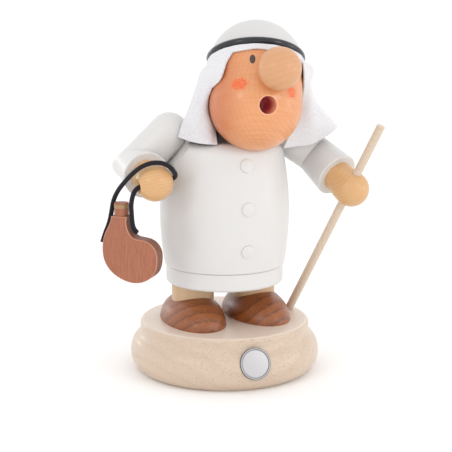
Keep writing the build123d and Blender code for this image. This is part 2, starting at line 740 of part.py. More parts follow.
strap_route = [tuple(share * strap_reach for share in place) for place in strap_route_shares]
strap_radii = bend_radii(strap_route)
strap_path = FilletPolyline(*strap_route, radius=strap_radii)
strap_start = Plane(origin=strap_path @ 0, z_dir=strap_path % 0)
flask_strap = sweep(strap_start * Circle(strap_radius), path=strap_path)
right_hand_middle = arm_frames("right")[5]
hole_fall = math.radians(strap_hole_tilt)
hole_way = Vector(math.cos(hole_fall), 0, math.sin(hole_fall))
hole_reach = hole_way * (hand_radius + overrun)
hands["right"] -= rod(right_hand_middle - hole_reach, right_hand_middle + hole_reach, strap_radius + strap_hole_gap)
for sign in (-1, 1):
    mouth_frame = Plane(
        origin=right_hand_middle + hole_way * sign * (hand_radius - strap_flare_depth), z_dir=hole_way * sign)
    flare_height = strap_flare_depth + overrun
    flare = Cone(strap_radius + strap_hole_gap, strap_flare_radius, flare_height, align=on_face)
    hands["right"] -= mouth_frame * flare

strap_tube_length = strap_path.length
print("right hand's middle", [round(value, 2) for value in right_hand_middle])
print("left hand's middle", [round(value, 2) for value in arm_frames("left")[5]])
print("strap bend radii", [round(value, 2) for value in strap_radii])
print("strap length", round(strap_tube_length, 1))
strap_volume = math.pi * strap_radius ** 2 * strap_tube_length
print("strap volume over section times length", round(flask_strap.volume / strap_volume, 4))


# One STEP file for each piece
pieces = {
    "plinth": plinth,
    "badge": badge,
    "hem_block": hem_block,
    "cone_tray": tray,
    "tray_pin": tray_pin,
    "leg_dowels": Compound([leg_dowel(x, y) for x, y in leg_places()]),
    "robe": robe,
    "neck_tube": neck_tube,
    "head": head,
    "nose": nose,
    "cap": cap,
    "cap_dowel": cap_dowel,
    "head_ring": head_ring,
    "headcloth": headcloth,
    "shoulder_dowels": Compound([shoulder_dowel(side, 0) for side in sides]),
    "elbow_dowels": Compound([elbow_dowel(side, 0) for side in sides]),
    "staff": staff,
    "flask": flask,
    "flask_stopper": stopper,
    "stopper_band": stopper_band,
    "flask_strap": flask_strap,
}
for side, sign in side_sign.items():
    pieces[f"{side}_shoe"] = make_shoe(sign)
    pieces[f"{side}_leg"] = make_leg(sign)
    pieces[f"{side}_upper_arm"] = upper_arms[side]
    pieces[f"{side}_sleeve"] = sleeves[side]
    pieces[f"{side}_hand"] = hands[side]
for name, frame in zip(("upper_button", "middle_button", "lower_button"), button_frames()):
    pieces[name] = make_button(frame)

os.makedirs("parts", exist_ok=True)
for name, shape in pieces.items():
    export_step(shape, f"parts/{name}.step")
print(len(pieces), "pieces written")
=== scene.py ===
"""Looks of a turned wooden incense smoker: a robed desert traveller on a round plinth.

Metres, +Z up, origin at the middle of the plinth's underside, the figure facing -Y.
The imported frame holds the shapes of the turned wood. This script dresses them, and builds
the headcloth, the flask's lace, the badge and the painted eyes.
"""
import logging
import math
from dataclasses import dataclass, field
from enum import Enum
from functools import cache

import bmesh
import bpy
import numpy as np
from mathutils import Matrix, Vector


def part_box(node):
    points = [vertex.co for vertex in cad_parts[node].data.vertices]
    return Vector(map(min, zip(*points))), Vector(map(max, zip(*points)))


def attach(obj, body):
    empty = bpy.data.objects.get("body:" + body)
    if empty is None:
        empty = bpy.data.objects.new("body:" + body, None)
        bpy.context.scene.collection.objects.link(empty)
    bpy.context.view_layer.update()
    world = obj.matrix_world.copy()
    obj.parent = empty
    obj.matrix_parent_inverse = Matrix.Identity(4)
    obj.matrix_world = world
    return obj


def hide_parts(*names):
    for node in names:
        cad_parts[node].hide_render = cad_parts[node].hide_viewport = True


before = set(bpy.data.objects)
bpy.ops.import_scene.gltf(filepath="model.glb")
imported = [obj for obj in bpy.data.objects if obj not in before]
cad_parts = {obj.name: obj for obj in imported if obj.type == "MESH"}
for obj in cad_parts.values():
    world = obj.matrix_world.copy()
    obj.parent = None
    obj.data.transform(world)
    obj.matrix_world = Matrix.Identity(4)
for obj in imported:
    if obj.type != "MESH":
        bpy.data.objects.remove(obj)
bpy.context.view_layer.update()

MM = 0.001
# Vertices closer than WELD become one, and a length under TINY divides nothing.
WELD = 1e-7
TINY = 1e-9
UPRIGHT = (0.0, 0.0, 1.0)
# The growth rings' axis of dowels, far enough to the side to leave nearly straight grain.
FAR_PITH = (0.05, 0.0, 0.0)

Colour = tuple[float, float, float, float]
Point = tuple[float, float, float]
Place = Point | Vector
Span = tuple[float, float]
log = logging.getLogger("smoker")


def paint(red: float, green: float, blue: float) -> Colour:
    """Turns a colour as a screen shows it, 0 to 255, into a shader's linear one by the sRGB curve.

    Args:
        red: Red share of the colour.
        green: Green share.
        blue: Blue share.

    Returns:
        The linear colour with full alpha.
    """
    shares = np.array([red, green, blue]) / 255
    linear = np.where(shares <= 0.04045, shares / 12.92, ((shares + 0.055) / 1.055) ** 2.4)
    return (*(float(share) for share in linear), 1.0)


class Body(Enum):
    """The bodies of the frame that a piece can ride on."""

    BASE = "base"
    FIGURE = "figure"
    FLASK = "flask"


class Slot(Enum):
    """Names of the finishes of the cloth, the lace, the badge and the ring."""

    WHITE_CLOTH = "white_cloth"
    BLACK_LACE = "black_lace"
    BRIGHT_METAL = "bright_metal"
    BLACK_PAINT = "black_ring"


class Wiring:
    """Adds shader nodes to a tree and joins them."""

    def __init__(self, tree: bpy.types.NodeTree) -> None:
        """Keeps the tree that the nodes go into."""
        self.tree = tree

    def feed(self, socket: bpy.types.NodeSocket, value: object) -> None:
        """Joins a socket to another one, or sets its constant.

        Args:
            socket: The input.
            value: Another node's output, or a constant.
        """
        if isinstance(value, bpy.types.NodeSocket):
            self.tree.links.new(value, socket)
        else:
            socket.default_value = value

    def add(self, kind: str, inputs: dict | None = None, **settings: object) -> bpy.types.Node:
        """Adds a node.

        Args:
            kind: Blender's name of the node.
            inputs: Sockets or constants for its inputs, by name or index.
            **settings: Attributes of the node.

        Returns:
            The node.
        """
        node = self.tree.nodes.new(kind)
        for name, value in settings.items():
            setattr(node, name, value)
        for key, value in (inputs or {}).items():
            self.feed(node.inputs[key], value)
        return node

    def math(self, operation: str, *values: object) -> bpy.types.NodeSocket:
        """A sum, product or other operation on numbers."""
        return self.add("ShaderNodeMath", dict(enumerate(values)), operation=operation).outputs[0]

    def vector(self, operation: str, *values: object) -> bpy.types.NodeSocket:
        """An operation on vectors."""
        node = self.add("ShaderNodeVectorMath", dict(enumerate(values)), operation=operation)
        return node.outputs["Value" if operation in ("DOT_PRODUCT", "LENGTH") else "Vector"]

    def step(self, value: object, low: float, high: float) -> bpy.types.NodeSocket:
        """A smooth step from 0 at low to 1 at high."""
        inputs = {"Value": value, "From Min": low, "From Max": high}
        return self.add("ShaderNodeMapRange", inputs, interpolation_type="SMOOTHSTEP").outputs["Result"]

    def noise(self, vector: object, scale: float, detail: float = 2.0) -> bpy.types.NodeSocket:
        """Soft noise, as many lumps to a unit as the scale says."""
        inputs = {"Vector": vector, "Scale": scale, "Detail": detail}
        return self.add("ShaderNodeTexNoise", inputs).outputs[0]

    def mix(self, share: object, first: object, second: object) -> bpy.types.NodeSocket:
        """The first colour at share 0 and the second at share 1."""
        # The node has its two colours at sockets 6 and 7, and their mix at output 2.
        inputs = {0: share, 6: first, 7: second}
        return self.add("ShaderNodeMix", inputs, data_type="RGBA").outputs[2]

    def bump(self, height: object, depth: float) -> bpy.types.NodeSocket:
        """A normal from a height of 0 to 1 that stands for a depth in metres."""
        inputs = {"Height": height, "Strength": 1.0, "Distance": depth}
        return self.add("ShaderNodeBump", inputs).outputs["Normal"]

    def effect(self, group: bpy.types.NodeTree, **inputs: object) -> bpy.types.Node:
        """Places a shared effect with its own values.

        Args:
            group: The effect.
            **inputs: Sockets or constants for its inputs, by name.

        Returns:
            The effect's node.
        """
        node = self.tree.nodes.new("ShaderNodeGroup")
        node.node_tree = group
        for name, value in inputs.items():
            self.feed(node.inputs[name], value)
        return node


def new_group(name: str, inputs: dict[str, str], outputs: dict[str, str]
              ) -> tuple[bpy.types.NodeTree, Wiring, bpy.types.Node, bpy.types.Node]:
    """Starts a shared effect.

    Args:
        name: The group's name.
        inputs: Socket kinds by name.
        outputs: Socket kinds by name.

    Returns:
        The group, its wiring, the node of its inputs and the node of its outputs.
    """
    group = bpy.data.node_groups.new(name, "ShaderNodeTree")
    for direction, sockets in (("INPUT", inputs), ("OUTPUT", outputs)):
        for socket, kind in sockets.items():
            group.interface.new_socket(socket, in_out=direction, socket_type=f"NodeSocket{kind}")
    wiring = Wiring(group)
    return group, wiring, wiring.add("NodeGroupInput"), wiring.add("NodeGroupOutput")


@cache
def grain_effect() -> bpy.types.NodeTree:
    """Wood grain in millimetres, with the fibres along Z and the rings about Z.

    Slow noise moves each place first, so that the rings wander. A ring darkens with the cube of
    the way across it and is light again where the next one starts.

    Returns:
        The effect, built on the first call.
    """
    inputs = {"Vector": "Vector", "Ring": "Float", "Wander": "Float", "Length": "Float"}
    outputs = {"Rings": "Float", "Fibre": "Float", "Flecks": "Float"}
    group, w, given, result = new_group("grain", inputs, outputs)
    place = given.outputs["Vector"]
    lengthwise = w.math("DIVIDE", 1.0, given.outputs["Length"])
    squeeze = w.add("ShaderNodeCombineXYZ", {"X": 1.0, "Y": 1.0, "Z": lengthwise}).outputs[0]
    slow = w.vector("MULTIPLY", place, squeeze)
    drift = w.add("ShaderNodeTexNoise", {"Vector": slow, "Scale": 0.07, "Detail": 3.0})
    centred = w.vector("SUBTRACT", drift.outputs[1], (0.5, 0.5, 0.5))
    wander = given.outputs["Wander"]
    reach = w.add("ShaderNodeCombineXYZ", {"X": wander, "Y": wander, "Z": 0.0}).outputs[0]
    moved = w.vector("ADD", place, w.vector("MULTIPLY", centred, reach))
    flat = w.vector("LENGTH", w.vector("MULTIPLY", moved, (1.0, 1.0, 0.0)))
    phase = w.math("FRACT", w.math("DIVIDE", flat, given.outputs["Ring"]))
    late = w.math("POWER", phase, 3.0)
    early = w.step(phase, 0.0, 0.12)
    rings = w.math("ADD", late, w.math("SUBTRACT", 1.0, early))
    w.feed(result.inputs["Rings"], w.math("MINIMUM", rings, 1.0))
    fibres = w.vector("MULTIPLY", slow, (1.0, 1.0, 0.6))
    w.feed(result.inputs["Fibre"], w.noise(fibres, scale=2.6, detail=5.0))
    dashes = w.noise(w.vector("MULTIPLY", slow, (1.0, 1.0, 2.6)), scale=1.9, detail=1.0)
    w.feed(result.inputs["Flecks"], w.step(dashes, 0.60, 0.72))
    return group


@cache
def spot_effect() -> bpy.types.NodeTree:
    """A dabbed spot of paint: ragged strokes, dense in the middle and thin at the rim.

    Across and Up are the spot's directions, each divided by its half size. Paint lies where fine
    noise, slow noise and the closeness to the middle add up to enough.

    Returns:
        The effect, built on the first call.
    """
    inputs = {"Vector": "Vector", "Middle": "Vector", "Across": "Vector", "Up": "Vector"}
    group, w, given, result = new_group("dabbed spot", inputs, {"Mask": "Float"})
    offset = w.vector("SUBTRACT", given.outputs["Vector"], given.outputs["Middle"])
    across = w.vector("DOT_PRODUCT", offset, given.outputs["Across"])
    up = w.vector("DOT_PRODUCT", offset, given.outputs["Up"])
    square = w.math("ADD", w.math("MULTIPLY", across, across), w.math("MULTIPLY", up, up))
    strokes = w.noise(given.outputs["Vector"], scale=1500.0, detail=3.0)
    patches = w.noise(given.outputs["Vector"], scale=420.0, detail=1.0)
    inside = w.step(square, 1.25, 0.15)
    level = w.math("ADD", w.math("MULTIPLY", inside, 0.26), w.math("MULTIPLY", patches, 0.16))
    dabs = w.step(w.math("ADD", strokes, level), 0.70, 0.80)
    w.feed(result.inputs["Mask"], w.math("MULTIPLY", dabs, w.step(square, 1.45, 0.95)))
    return group


@cache
def handling_effect() -> bpy.types.NodeTree:
    """Handling marks: faint cloudy changes of tone and gloss.

    Returns:
        The effect, built on the first call.
    """
    inputs, outputs = {"Vector": "Vector", "Depth": "Float"}, {"Cloud": "Float", "Gloss": "Float"}
    group, w, given, result = new_group("handling", inputs, outputs)
    cloud = w.noise(given.outputs["Vector"], scale=55.0, detail=4.0)
    smear = w.noise(given.outputs["Vector"], scale=240.0, detail=5.0)
    w.feed(result.inputs["Cloud"], w.math("MULTIPLY", cloud, given.outputs["Depth"]))
    w.feed(result.inputs["Gloss"], w.math("MULTIPLY", smear, given.outputs["Depth"]))
    return group


def new_material(name: str) -> tuple[bpy.types.Material, Wiring, bpy.types.Node]:
    """Starts a material.

    Args:
        name: The material's name.

    Returns:
        The material, its wiring and its Principled shader.
    """
    material = bpy.data.materials.new(name)
    material.use_nodes = True
    wiring = Wiring(material.node_tree)
    return material, wiring, material.node_tree.nodes["Principled BSDF"]


def place_of(wiring: Wiring) -> bpy.types.NodeSocket:
    """The object coordinates, which are the frame's own."""
    return wiring.add("ShaderNodeTexCoord").outputs["Object"]


def turned_place(wiring: Wiring, middle: Place, fibre: Place) -> bpy.types.NodeSocket:
    """Object coordinates in millimetres from a middle, turned so that the fibre runs along Z.

    Args:
        wiring: Where the nodes go.
        middle: The place that becomes the origin.
        fibre: The direction of the wood's fibres.

    Returns:
        The mapped coordinates.
    """
    turn = Vector(fibre).rotation_difference(Vector(UPRIGHT))
    shift = turn @ (Vector(middle) / MM)
    inputs = {"Vector": place_of(wiring), "Location": -shift, "Rotation": turn.to_euler(),
              "Scale": (1 / MM, 1 / MM, 1 / MM)}
    return wiring.add("ShaderNodeMapping", inputs, vector_type="POINT").outputs[0]


def set_gloss(shader: bpy.types.Node, coat: float, coat_roughness: float) -> None:
    """Lays a clear coat over a shader."""
    shader.inputs["Coat Weight"].default_value = coat
    shader.inputs["Coat Roughness"].default_value = coat_roughness


def set_soft(shader: bpy.types.Node, roughness: float, sheen: float, specular: float) -> None:
    """Makes a shader as matt as cloth, with a sheen of loose fibres.

    Args:
        shader: The shader.
        roughness: Its roughness.
        sheen: Weight of the sheen.
        specular: Level of the plain reflection.
    """
    shader.inputs["Roughness"].default_value = roughness
    shader.inputs["Sheen Weight"].default_value = sheen
    shader.inputs["Specular IOR Level"].default_value = specular


@dataclass(frozen=True)
class Wood:
    """Bare or waxed wood: growth rings, long fibres and short dark flecks.

    Widths are in millimetres, depths are shares from 0 to 1. Relief is in metres.
    """

    name: str
    light: Colour
    dark: Colour
    fleck: Colour
    ring: float = 2.4
    wander: float = 3.0
    length: float = 9.0
    ring_depth: float = 0.25
    fibre_depth: float = 0.35
    fibre_span: Span = (0.32, 0.72)
    fleck_depth: float = 0.25
    handling: float = 0.16
    roughness: float = 0.48
    coat: float = 0.12
    coat_roughness: float = 0.28
    relief: float = 0.00002

    def material(self, piece: str, middle: Place, fibre: Place) -> bpy.types.Material:
        """Makes the wood's material for one piece.

        Args:
            piece: The piece's name.
            middle: A place on the growth rings' axis, in metres.
            fibre: The direction of the fibres.

        Returns:
            The material.
        """
        material, w, shader = new_material(f"{self.name}_{piece}")
        grain = w.effect(grain_effect(), Vector=turned_place(w, middle, fibre), Ring=self.ring,
                         Wander=self.wander, Length=self.length)
        marks = w.effect(handling_effect(), Vector=place_of(w), Depth=self.handling)
        rings = w.math("MULTIPLY", grain.outputs["Rings"], self.ring_depth)
        fibres = w.math("MULTIPLY", w.step(grain.outputs["Fibre"], *self.fibre_span), self.fibre_depth)
        tone = w.math("ADD", w.math("ADD", rings, fibres), marks.outputs["Cloud"])
        body = w.mix(w.math("MINIMUM", tone, 1.0), self.light, self.dark)
        flecks = w.math("MULTIPLY", grain.outputs["Flecks"], self.fleck_depth)
        w.feed(shader.inputs["Base Color"], w.mix(flecks, body, self.fleck))
        smoothest = self.roughness - self.handling / 2
        w.feed(shader.inputs["Roughness"], w.math("ADD", marks.outputs["Gloss"], smoothest))
        set_gloss(shader, self.coat, self.coat_roughness)
        w.feed(shader.inputs["Normal"], w.bump(grain.outputs["Fibre"], self.relief))
        return material


@dataclass(frozen=True)
class Lacquer:
    """Thin smooth paint over turned wood.

    Handling is how strong the handling marks are, and the gloss share how much of them the
    roughness takes. Relief is in metres.
    """

    name: str
    colour: Colour
    shade: Colour
    handling: float = 0.5
    gloss_share: float = 0.2
    roughness: float = 0.42
    coat: float = 0.15
    coat_roughness: float = 0.24
    fibre_scale: float = 1.6
    fibre_detail: float = 3.0
    relief: float = 0.000025

    def material(self, middle: Place = (0, 0, 0), axis: Place = UPRIGHT,
                 stretch: Point = (1.0, 1.0, 0.08)) -> bpy.types.Material:
        """Makes the paint's material, with the wood's fibres or turning lines faintly under it.

        Args:
            middle: A place on the lathe's axis.
            axis: The direction of that axis.
            stretch: How fast the lines change across, across and along the axis.

        Returns:
            The material.
        """
        material, w, shader = new_material(self.name)
        marks = w.effect(handling_effect(), Vector=place_of(w), Depth=self.handling)
        w.feed(shader.inputs["Base Color"], w.mix(marks.outputs["Cloud"], self.colour, self.shade))
        gloss = w.math("MULTIPLY", marks.outputs["Gloss"], self.gloss_share)
        smoothest = self.roughness - self.handling * self.gloss_share / 2
        w.feed(shader.inputs["Roughness"], w.math("ADD", gloss, smoothest))
        set_gloss(shader, self.coat, self.coat_roughness)
        drawn_out = w.vector("MULTIPLY", turned_place(w, middle, axis), stretch)
        fibres = w.noise(drawn_out, self.fibre_scale, self.fibre_detail)
        w.feed(shader.inputs["Normal"], w.bump(fibres, self.relief))
        return material


@dataclass(frozen=True)
class Metal:
    """Bright or plated metal, with fine turning marks.

    The gloss drop is how much smoother than its roughness a spot without handling marks is.
    """

    name: str
    colour: Colour
    roughness: float = 0.25
    metallic: float = 1.0
    handling: float = 0.3
    gloss_drop: float = 0.1
    shade_share: float = 0.7
    mark_scale: float = 3000.0
    relief: float = 0.000008

    def material(self) -> bpy.types.Material:
        """Makes the metal's material.

        Returns:
            The material.
        """
        material, w, shader = new_material(self.name)
        marks = w.effect(handling_effect(), Vector=place_of(w), Depth=self.handling)
        darker = (*(part * self.shade_share for part in self.colour[:3]), 1.0)
        w.feed(shader.inputs["Base Color"], w.mix(marks.outputs["Cloud"], self.colour, darker))
        smoothest = self.roughness - self.gloss_drop
        w.feed(shader.inputs["Roughness"], w.math("ADD", marks.outputs["Gloss"], smoothest))
        shader.inputs["Metallic"].default_value = self.metallic
        w.feed(shader.inputs["Normal"], w.bump(w.noise(place_of(w), self.mark_scale), self.relief))
        return material


LIGHT_WOOD = Wood("light_wood", paint(210, 190, 170), paint(190, 164, 140), paint(170, 128, 98),
                  ring=5.5, wander=7.0, fleck_depth=0.5, ring_depth=0.22, fibre_depth=0.3,
                  roughness=0.44, coat=0.45)
LEG_WOOD = Wood("leg_wood", paint(213, 182, 146), paint(194, 158, 118), paint(176, 138, 100),
                ring=4.0, fleck_depth=0.3)
OCHRE_WOOD = Wood("ochre_wood", paint(214, 170, 118), paint(196, 144, 90), paint(182, 128, 76),
                  ring=1.5, wander=1.2, ring_depth=0.26, fibre_depth=0.22, fleck_depth=0.2,
                  roughness=0.38, coat=0.3)
NOSE_WOOD = Wood("nose_wood", paint(212, 158, 114), paint(196, 138, 94), paint(186, 126, 84),
                 ring=2.6, wander=2.5, ring_depth=0.22, fibre_depth=0.22, fleck_depth=0.2,
                 roughness=0.40, coat=0.25)
BROWN_WOOD = Wood("brown_wood", paint(168, 96, 46), paint(84, 41, 21), paint(70, 34, 20),
                  ring=5.0, wander=6.0, length=9.0, ring_depth=0.4, fibre_depth=0.5, fleck_depth=0.2,
                  roughness=0.42, coat=0.3)
RED_WOOD = Wood("red_wood", paint(172, 106, 76), paint(134, 76, 54), paint(108, 60, 44),
                ring=3.2, wander=3.0, length=14.0, ring_depth=0.2, fibre_depth=0.5, fleck_depth=0.35,
                roughness=0.5, coat=0.1)
STAFF_WOOD = Wood("staff_wood", paint(216, 198, 178), paint(194, 170, 146), paint(178, 150, 124),
                  ring=2.0, length=20.0, fleck_depth=0.3)
WHITE_LACQUER = Lacquer("white_lacquer", paint(216, 214, 212), paint(208, 206, 204))
# The cap wears a darker copy of the white lacquer: painted shade for the cap's dimmer top.
SHADED_CAP_LACQUER = Lacquer("shaded_cap_lacquer", paint(209, 207, 206), paint(201, 199, 198))
BLACK_PAINT = Lacquer("black_ring", paint(12, 13, 22), paint(20, 22, 32), roughness=0.2, coat=0.25)
EYE_PAINT = Lacquer("eye_paint", paint(70, 56, 50), paint(56, 44, 40), roughness=0.35, coat=0.2)
BRASS = Metal("brass_band", paint(170, 140, 100), roughness=0.42, metallic=0.5)
TRAY_METAL = Metal("tray_metal", paint(170, 170, 172), roughness=0.4)


def dress(name: str, material: bpy.types.Material) -> None:
    """Gives a node of the frame its material.

    Args:
        name: The node.
        material: What it wears on every face.
    """
    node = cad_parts[name]
    if not node.material_slots:
        node.data.materials.append(material)
    for slot in node.material_slots:
        slot.material = material
    log.info("%s wears %s", name, material.name)


def cut_wood(name: str, wood: Wood, offset: Point, fibre: Place) -> bpy.types.Material:
    """Makes the material of a node's own cut of a wood.

    Args:
        name: The node.
        wood: What it is made from.
        offset: From the middle of the node's box to the growth rings' axis.
        fibre: The direction of the fibres.

    Returns:
        The material.
    """
    low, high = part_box(name)
    return wood.material(name, (low + high) / 2 + Vector(offset), fibre)


def dress_in_wood(name: str, wood: Wood, offset: Point, fibre: Place) -> None:
    """Gives a node its own cut of a wood, with the arguments of cut_wood."""
    dress(name, cut_wood(name, wood, offset, fibre))


def reopened(material: bpy.types.Material) -> tuple[Wiring, bpy.types.Node, bpy.types.NodeSocket]:
    """Opens a finished material again.

    Args:
        material: A material whose colour comes from a node.

    Returns:
        Its wiring, its shader and the colour that the shader has so far.
    """
    shader = material.node_tree.nodes["Principled BSDF"]
    return Wiring(material.node_tree), shader, shader.inputs["Base Color"].links[0].from_socket


def grid_faces(rows: int, columns: int, round_columns: bool = False, start: int = 0) -> np.ndarray:
    """The quads of a grid of vertices that is stored row by row.

    Args:
        rows: Number of rows.
        columns: Number of columns.
        round_columns: Whether the last column joins the first.
        start: Index of the grid's first vertex.

    Returns:
        Four vertex indices for each face.
    """
    row, column = np.meshgrid(np.arange(rows - 1), np.arange(columns - (not round_columns)), indexing="ij")
    after = (column + 1) % columns
    corners = (row * columns + column, row * columns + after,
               (row + 1) * columns + after, (row + 1) * columns + column)
    return np.stack(corners, axis=-1).reshape(-1, 4) + start


def build_mesh(name: str, points: np.ndarray, faces: np.ndarray | list,
               uv: np.ndarray | None = None) -> bpy.types.Object:
    """Makes a smooth-shaded mesh object at the origin.

    Args:
        name: The object's name.
        points: Its vertices.
        faces: Vertex indices of its faces.
        uv: A place on the surface for each vertex, or None.

    Returns:
        The object.
    """
    mesh = bpy.data.meshes.new(name)
    mesh.from_pydata(points.reshape(-1, 3).tolist(), [], [list(map(int, face)) for face in faces])
    if uv is not None:
        loops = np.zeros(len(mesh.loops), int)
        mesh.loops.foreach_get("vertex_index", loops)
        layer = mesh.uv_layers.new(name="surface")
        layer.data.foreach_set("uv", uv.reshape(-1, 2)[loops].astype(np.float32).ravel())
    mesh.polygons.foreach_set("use_smooth", np.ones(len(mesh.polygons), bool))
    mesh.update()
    made = bpy.data.objects.new(name, mesh)
    bpy.context.scene.collection.objects.link(made)
    log.info("%s has %d faces", name, len(mesh.polygons))
    return made


def merge_close(piece: bpy.types.Object) -> None:
    """Joins vertices that lie on each other and turns all faces outward.

    Args:
        piece: The mesh object.
    """
    edit = bmesh.new()
    edit.from_mesh(piece.data)
    bmesh.ops.remove_doubles(edit, verts=edit.verts, dist=WELD)
    bmesh.ops.recalc_face_normals(edit, faces=edit.faces)
    edit.to_mesh(piece.data)
    edit.free()


def through(points: np.ndarray, count: int) -> np.ndarray:
    """A smooth curve through points along the first axis, each span a cubic by its neighbours.

    Args:
        points: The points, at least two.
        count: How many places to give on the curve.

    Returns:
        The places, evenly spread over the points' indices.
    """
    last = len(points) - 1
    where = np.linspace(0, last, count)
    span = np.minimum(where.astype(int), last - 1)
    share = (where - span).reshape(-1, *([1] * (points.ndim - 1)))
    before = points[np.maximum(span - 1, 0)]
    near, far = points[span], points[span + 1]
    after = points[np.minimum(span + 2, last)]
    straight = near * 2
    slope = (far - before) * share
    bend = (before * 2 - near * 5 + far * 4 - after) * share ** 2
    twist = (near * 3 - before - far * 3 + after) * share ** 3
    return (straight + slope + bend + twist) / 2


def even_line(line: np.ndarray, step: float) -> np.ndarray:
    """The same line with places an even step apart, found by its running length.

    Args:
        line: Places along the line.
        step: About how far apart the new ones lie.

    Returns:
        The new places.
    """
    runs = np.linalg.norm(np.diff(line, axis=0), axis=1)
    reached = np.concatenate([[0], np.cumsum(runs)])
    wanted = np.linspace(0, reached[-1], int(reached[-1] / step) + 1)
    return np.stack([np.interp(wanted, reached, line[:, axis]) for axis in range(3)], axis=1)


@dataclass(frozen=True)
class HeadFrame:
    """The head's own directions, and places on it.

    Left, forward and rise lead from the middle of the robe's top to the middle of the chin's ball,
    and the ring stands the length and the ring's rise up the axis from there, all in metres. A
    turn goes to the figure's left about the head's axis, in degrees, and so do pitch and roll.
    """

    left: float = 0.0059
    forward: float = 0.0247
    rise: float = 0.0184
    pitch: float = 24.5
    roll: float = 9.5
    turn: float = 6.0
    radius: float = 0.0214
    length: float = 0.0178
    ring_rise: float = 0.0041

    @property
    def chin(self) -> Vector:
        """The middle of the chin's ball."""
        return Vector((self.left, -self.forward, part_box("robe")[1].z + self.rise))

    @property
    def axis(self) -> Vector:
        """Up along the head."""
        lean, tilt = math.radians(self.roll), math.radians(self.pitch)
        return Vector((math.sin(lean), math.sin(tilt), math.cos(tilt))).normalized()

    @property
    def front(self) -> Vector:
        """Out of the face, square to the axis.

        Returns:
            The direction, of length 1.
        """
        angle = math.radians(self.turn)
        level = Vector((-math.sin(angle), -math.cos(angle), 0))
        return (level - self.axis * level.dot(self.axis)).normalized()

    @property
    def side(self) -> Vector:
        """To the figure's left, square to both."""
        return self.axis.cross(self.front)

    @property
    def ring(self) -> Vector:
        """The middle of the black ring."""
        return self.chin + self.axis * (self.length + self.ring_rise)

    def outward(self, turn: float) -> Vector:
        """The direction out of the head at a turn."""
        angle = math.radians(turn)
        return self.front * math.cos(angle) + self.side * math.sin(angle)

    def on_skin(self, turn: float, height: float) -> Vector:
        """A place on the head's round side, or on the chin's ball below it."""
        reach = self.radius if height >= 0 else math.sqrt(self.radius ** 2 - height ** 2)
        return self.chin + self.axis * height + self.outward(turn) * reach


@dataclass(frozen=True)
class Blush:
    """A dabbed spot of red on a cheek: its turn in degrees, its height and its half sizes."""

    turn: float
    height: float
    half_width: float
    half_height: float


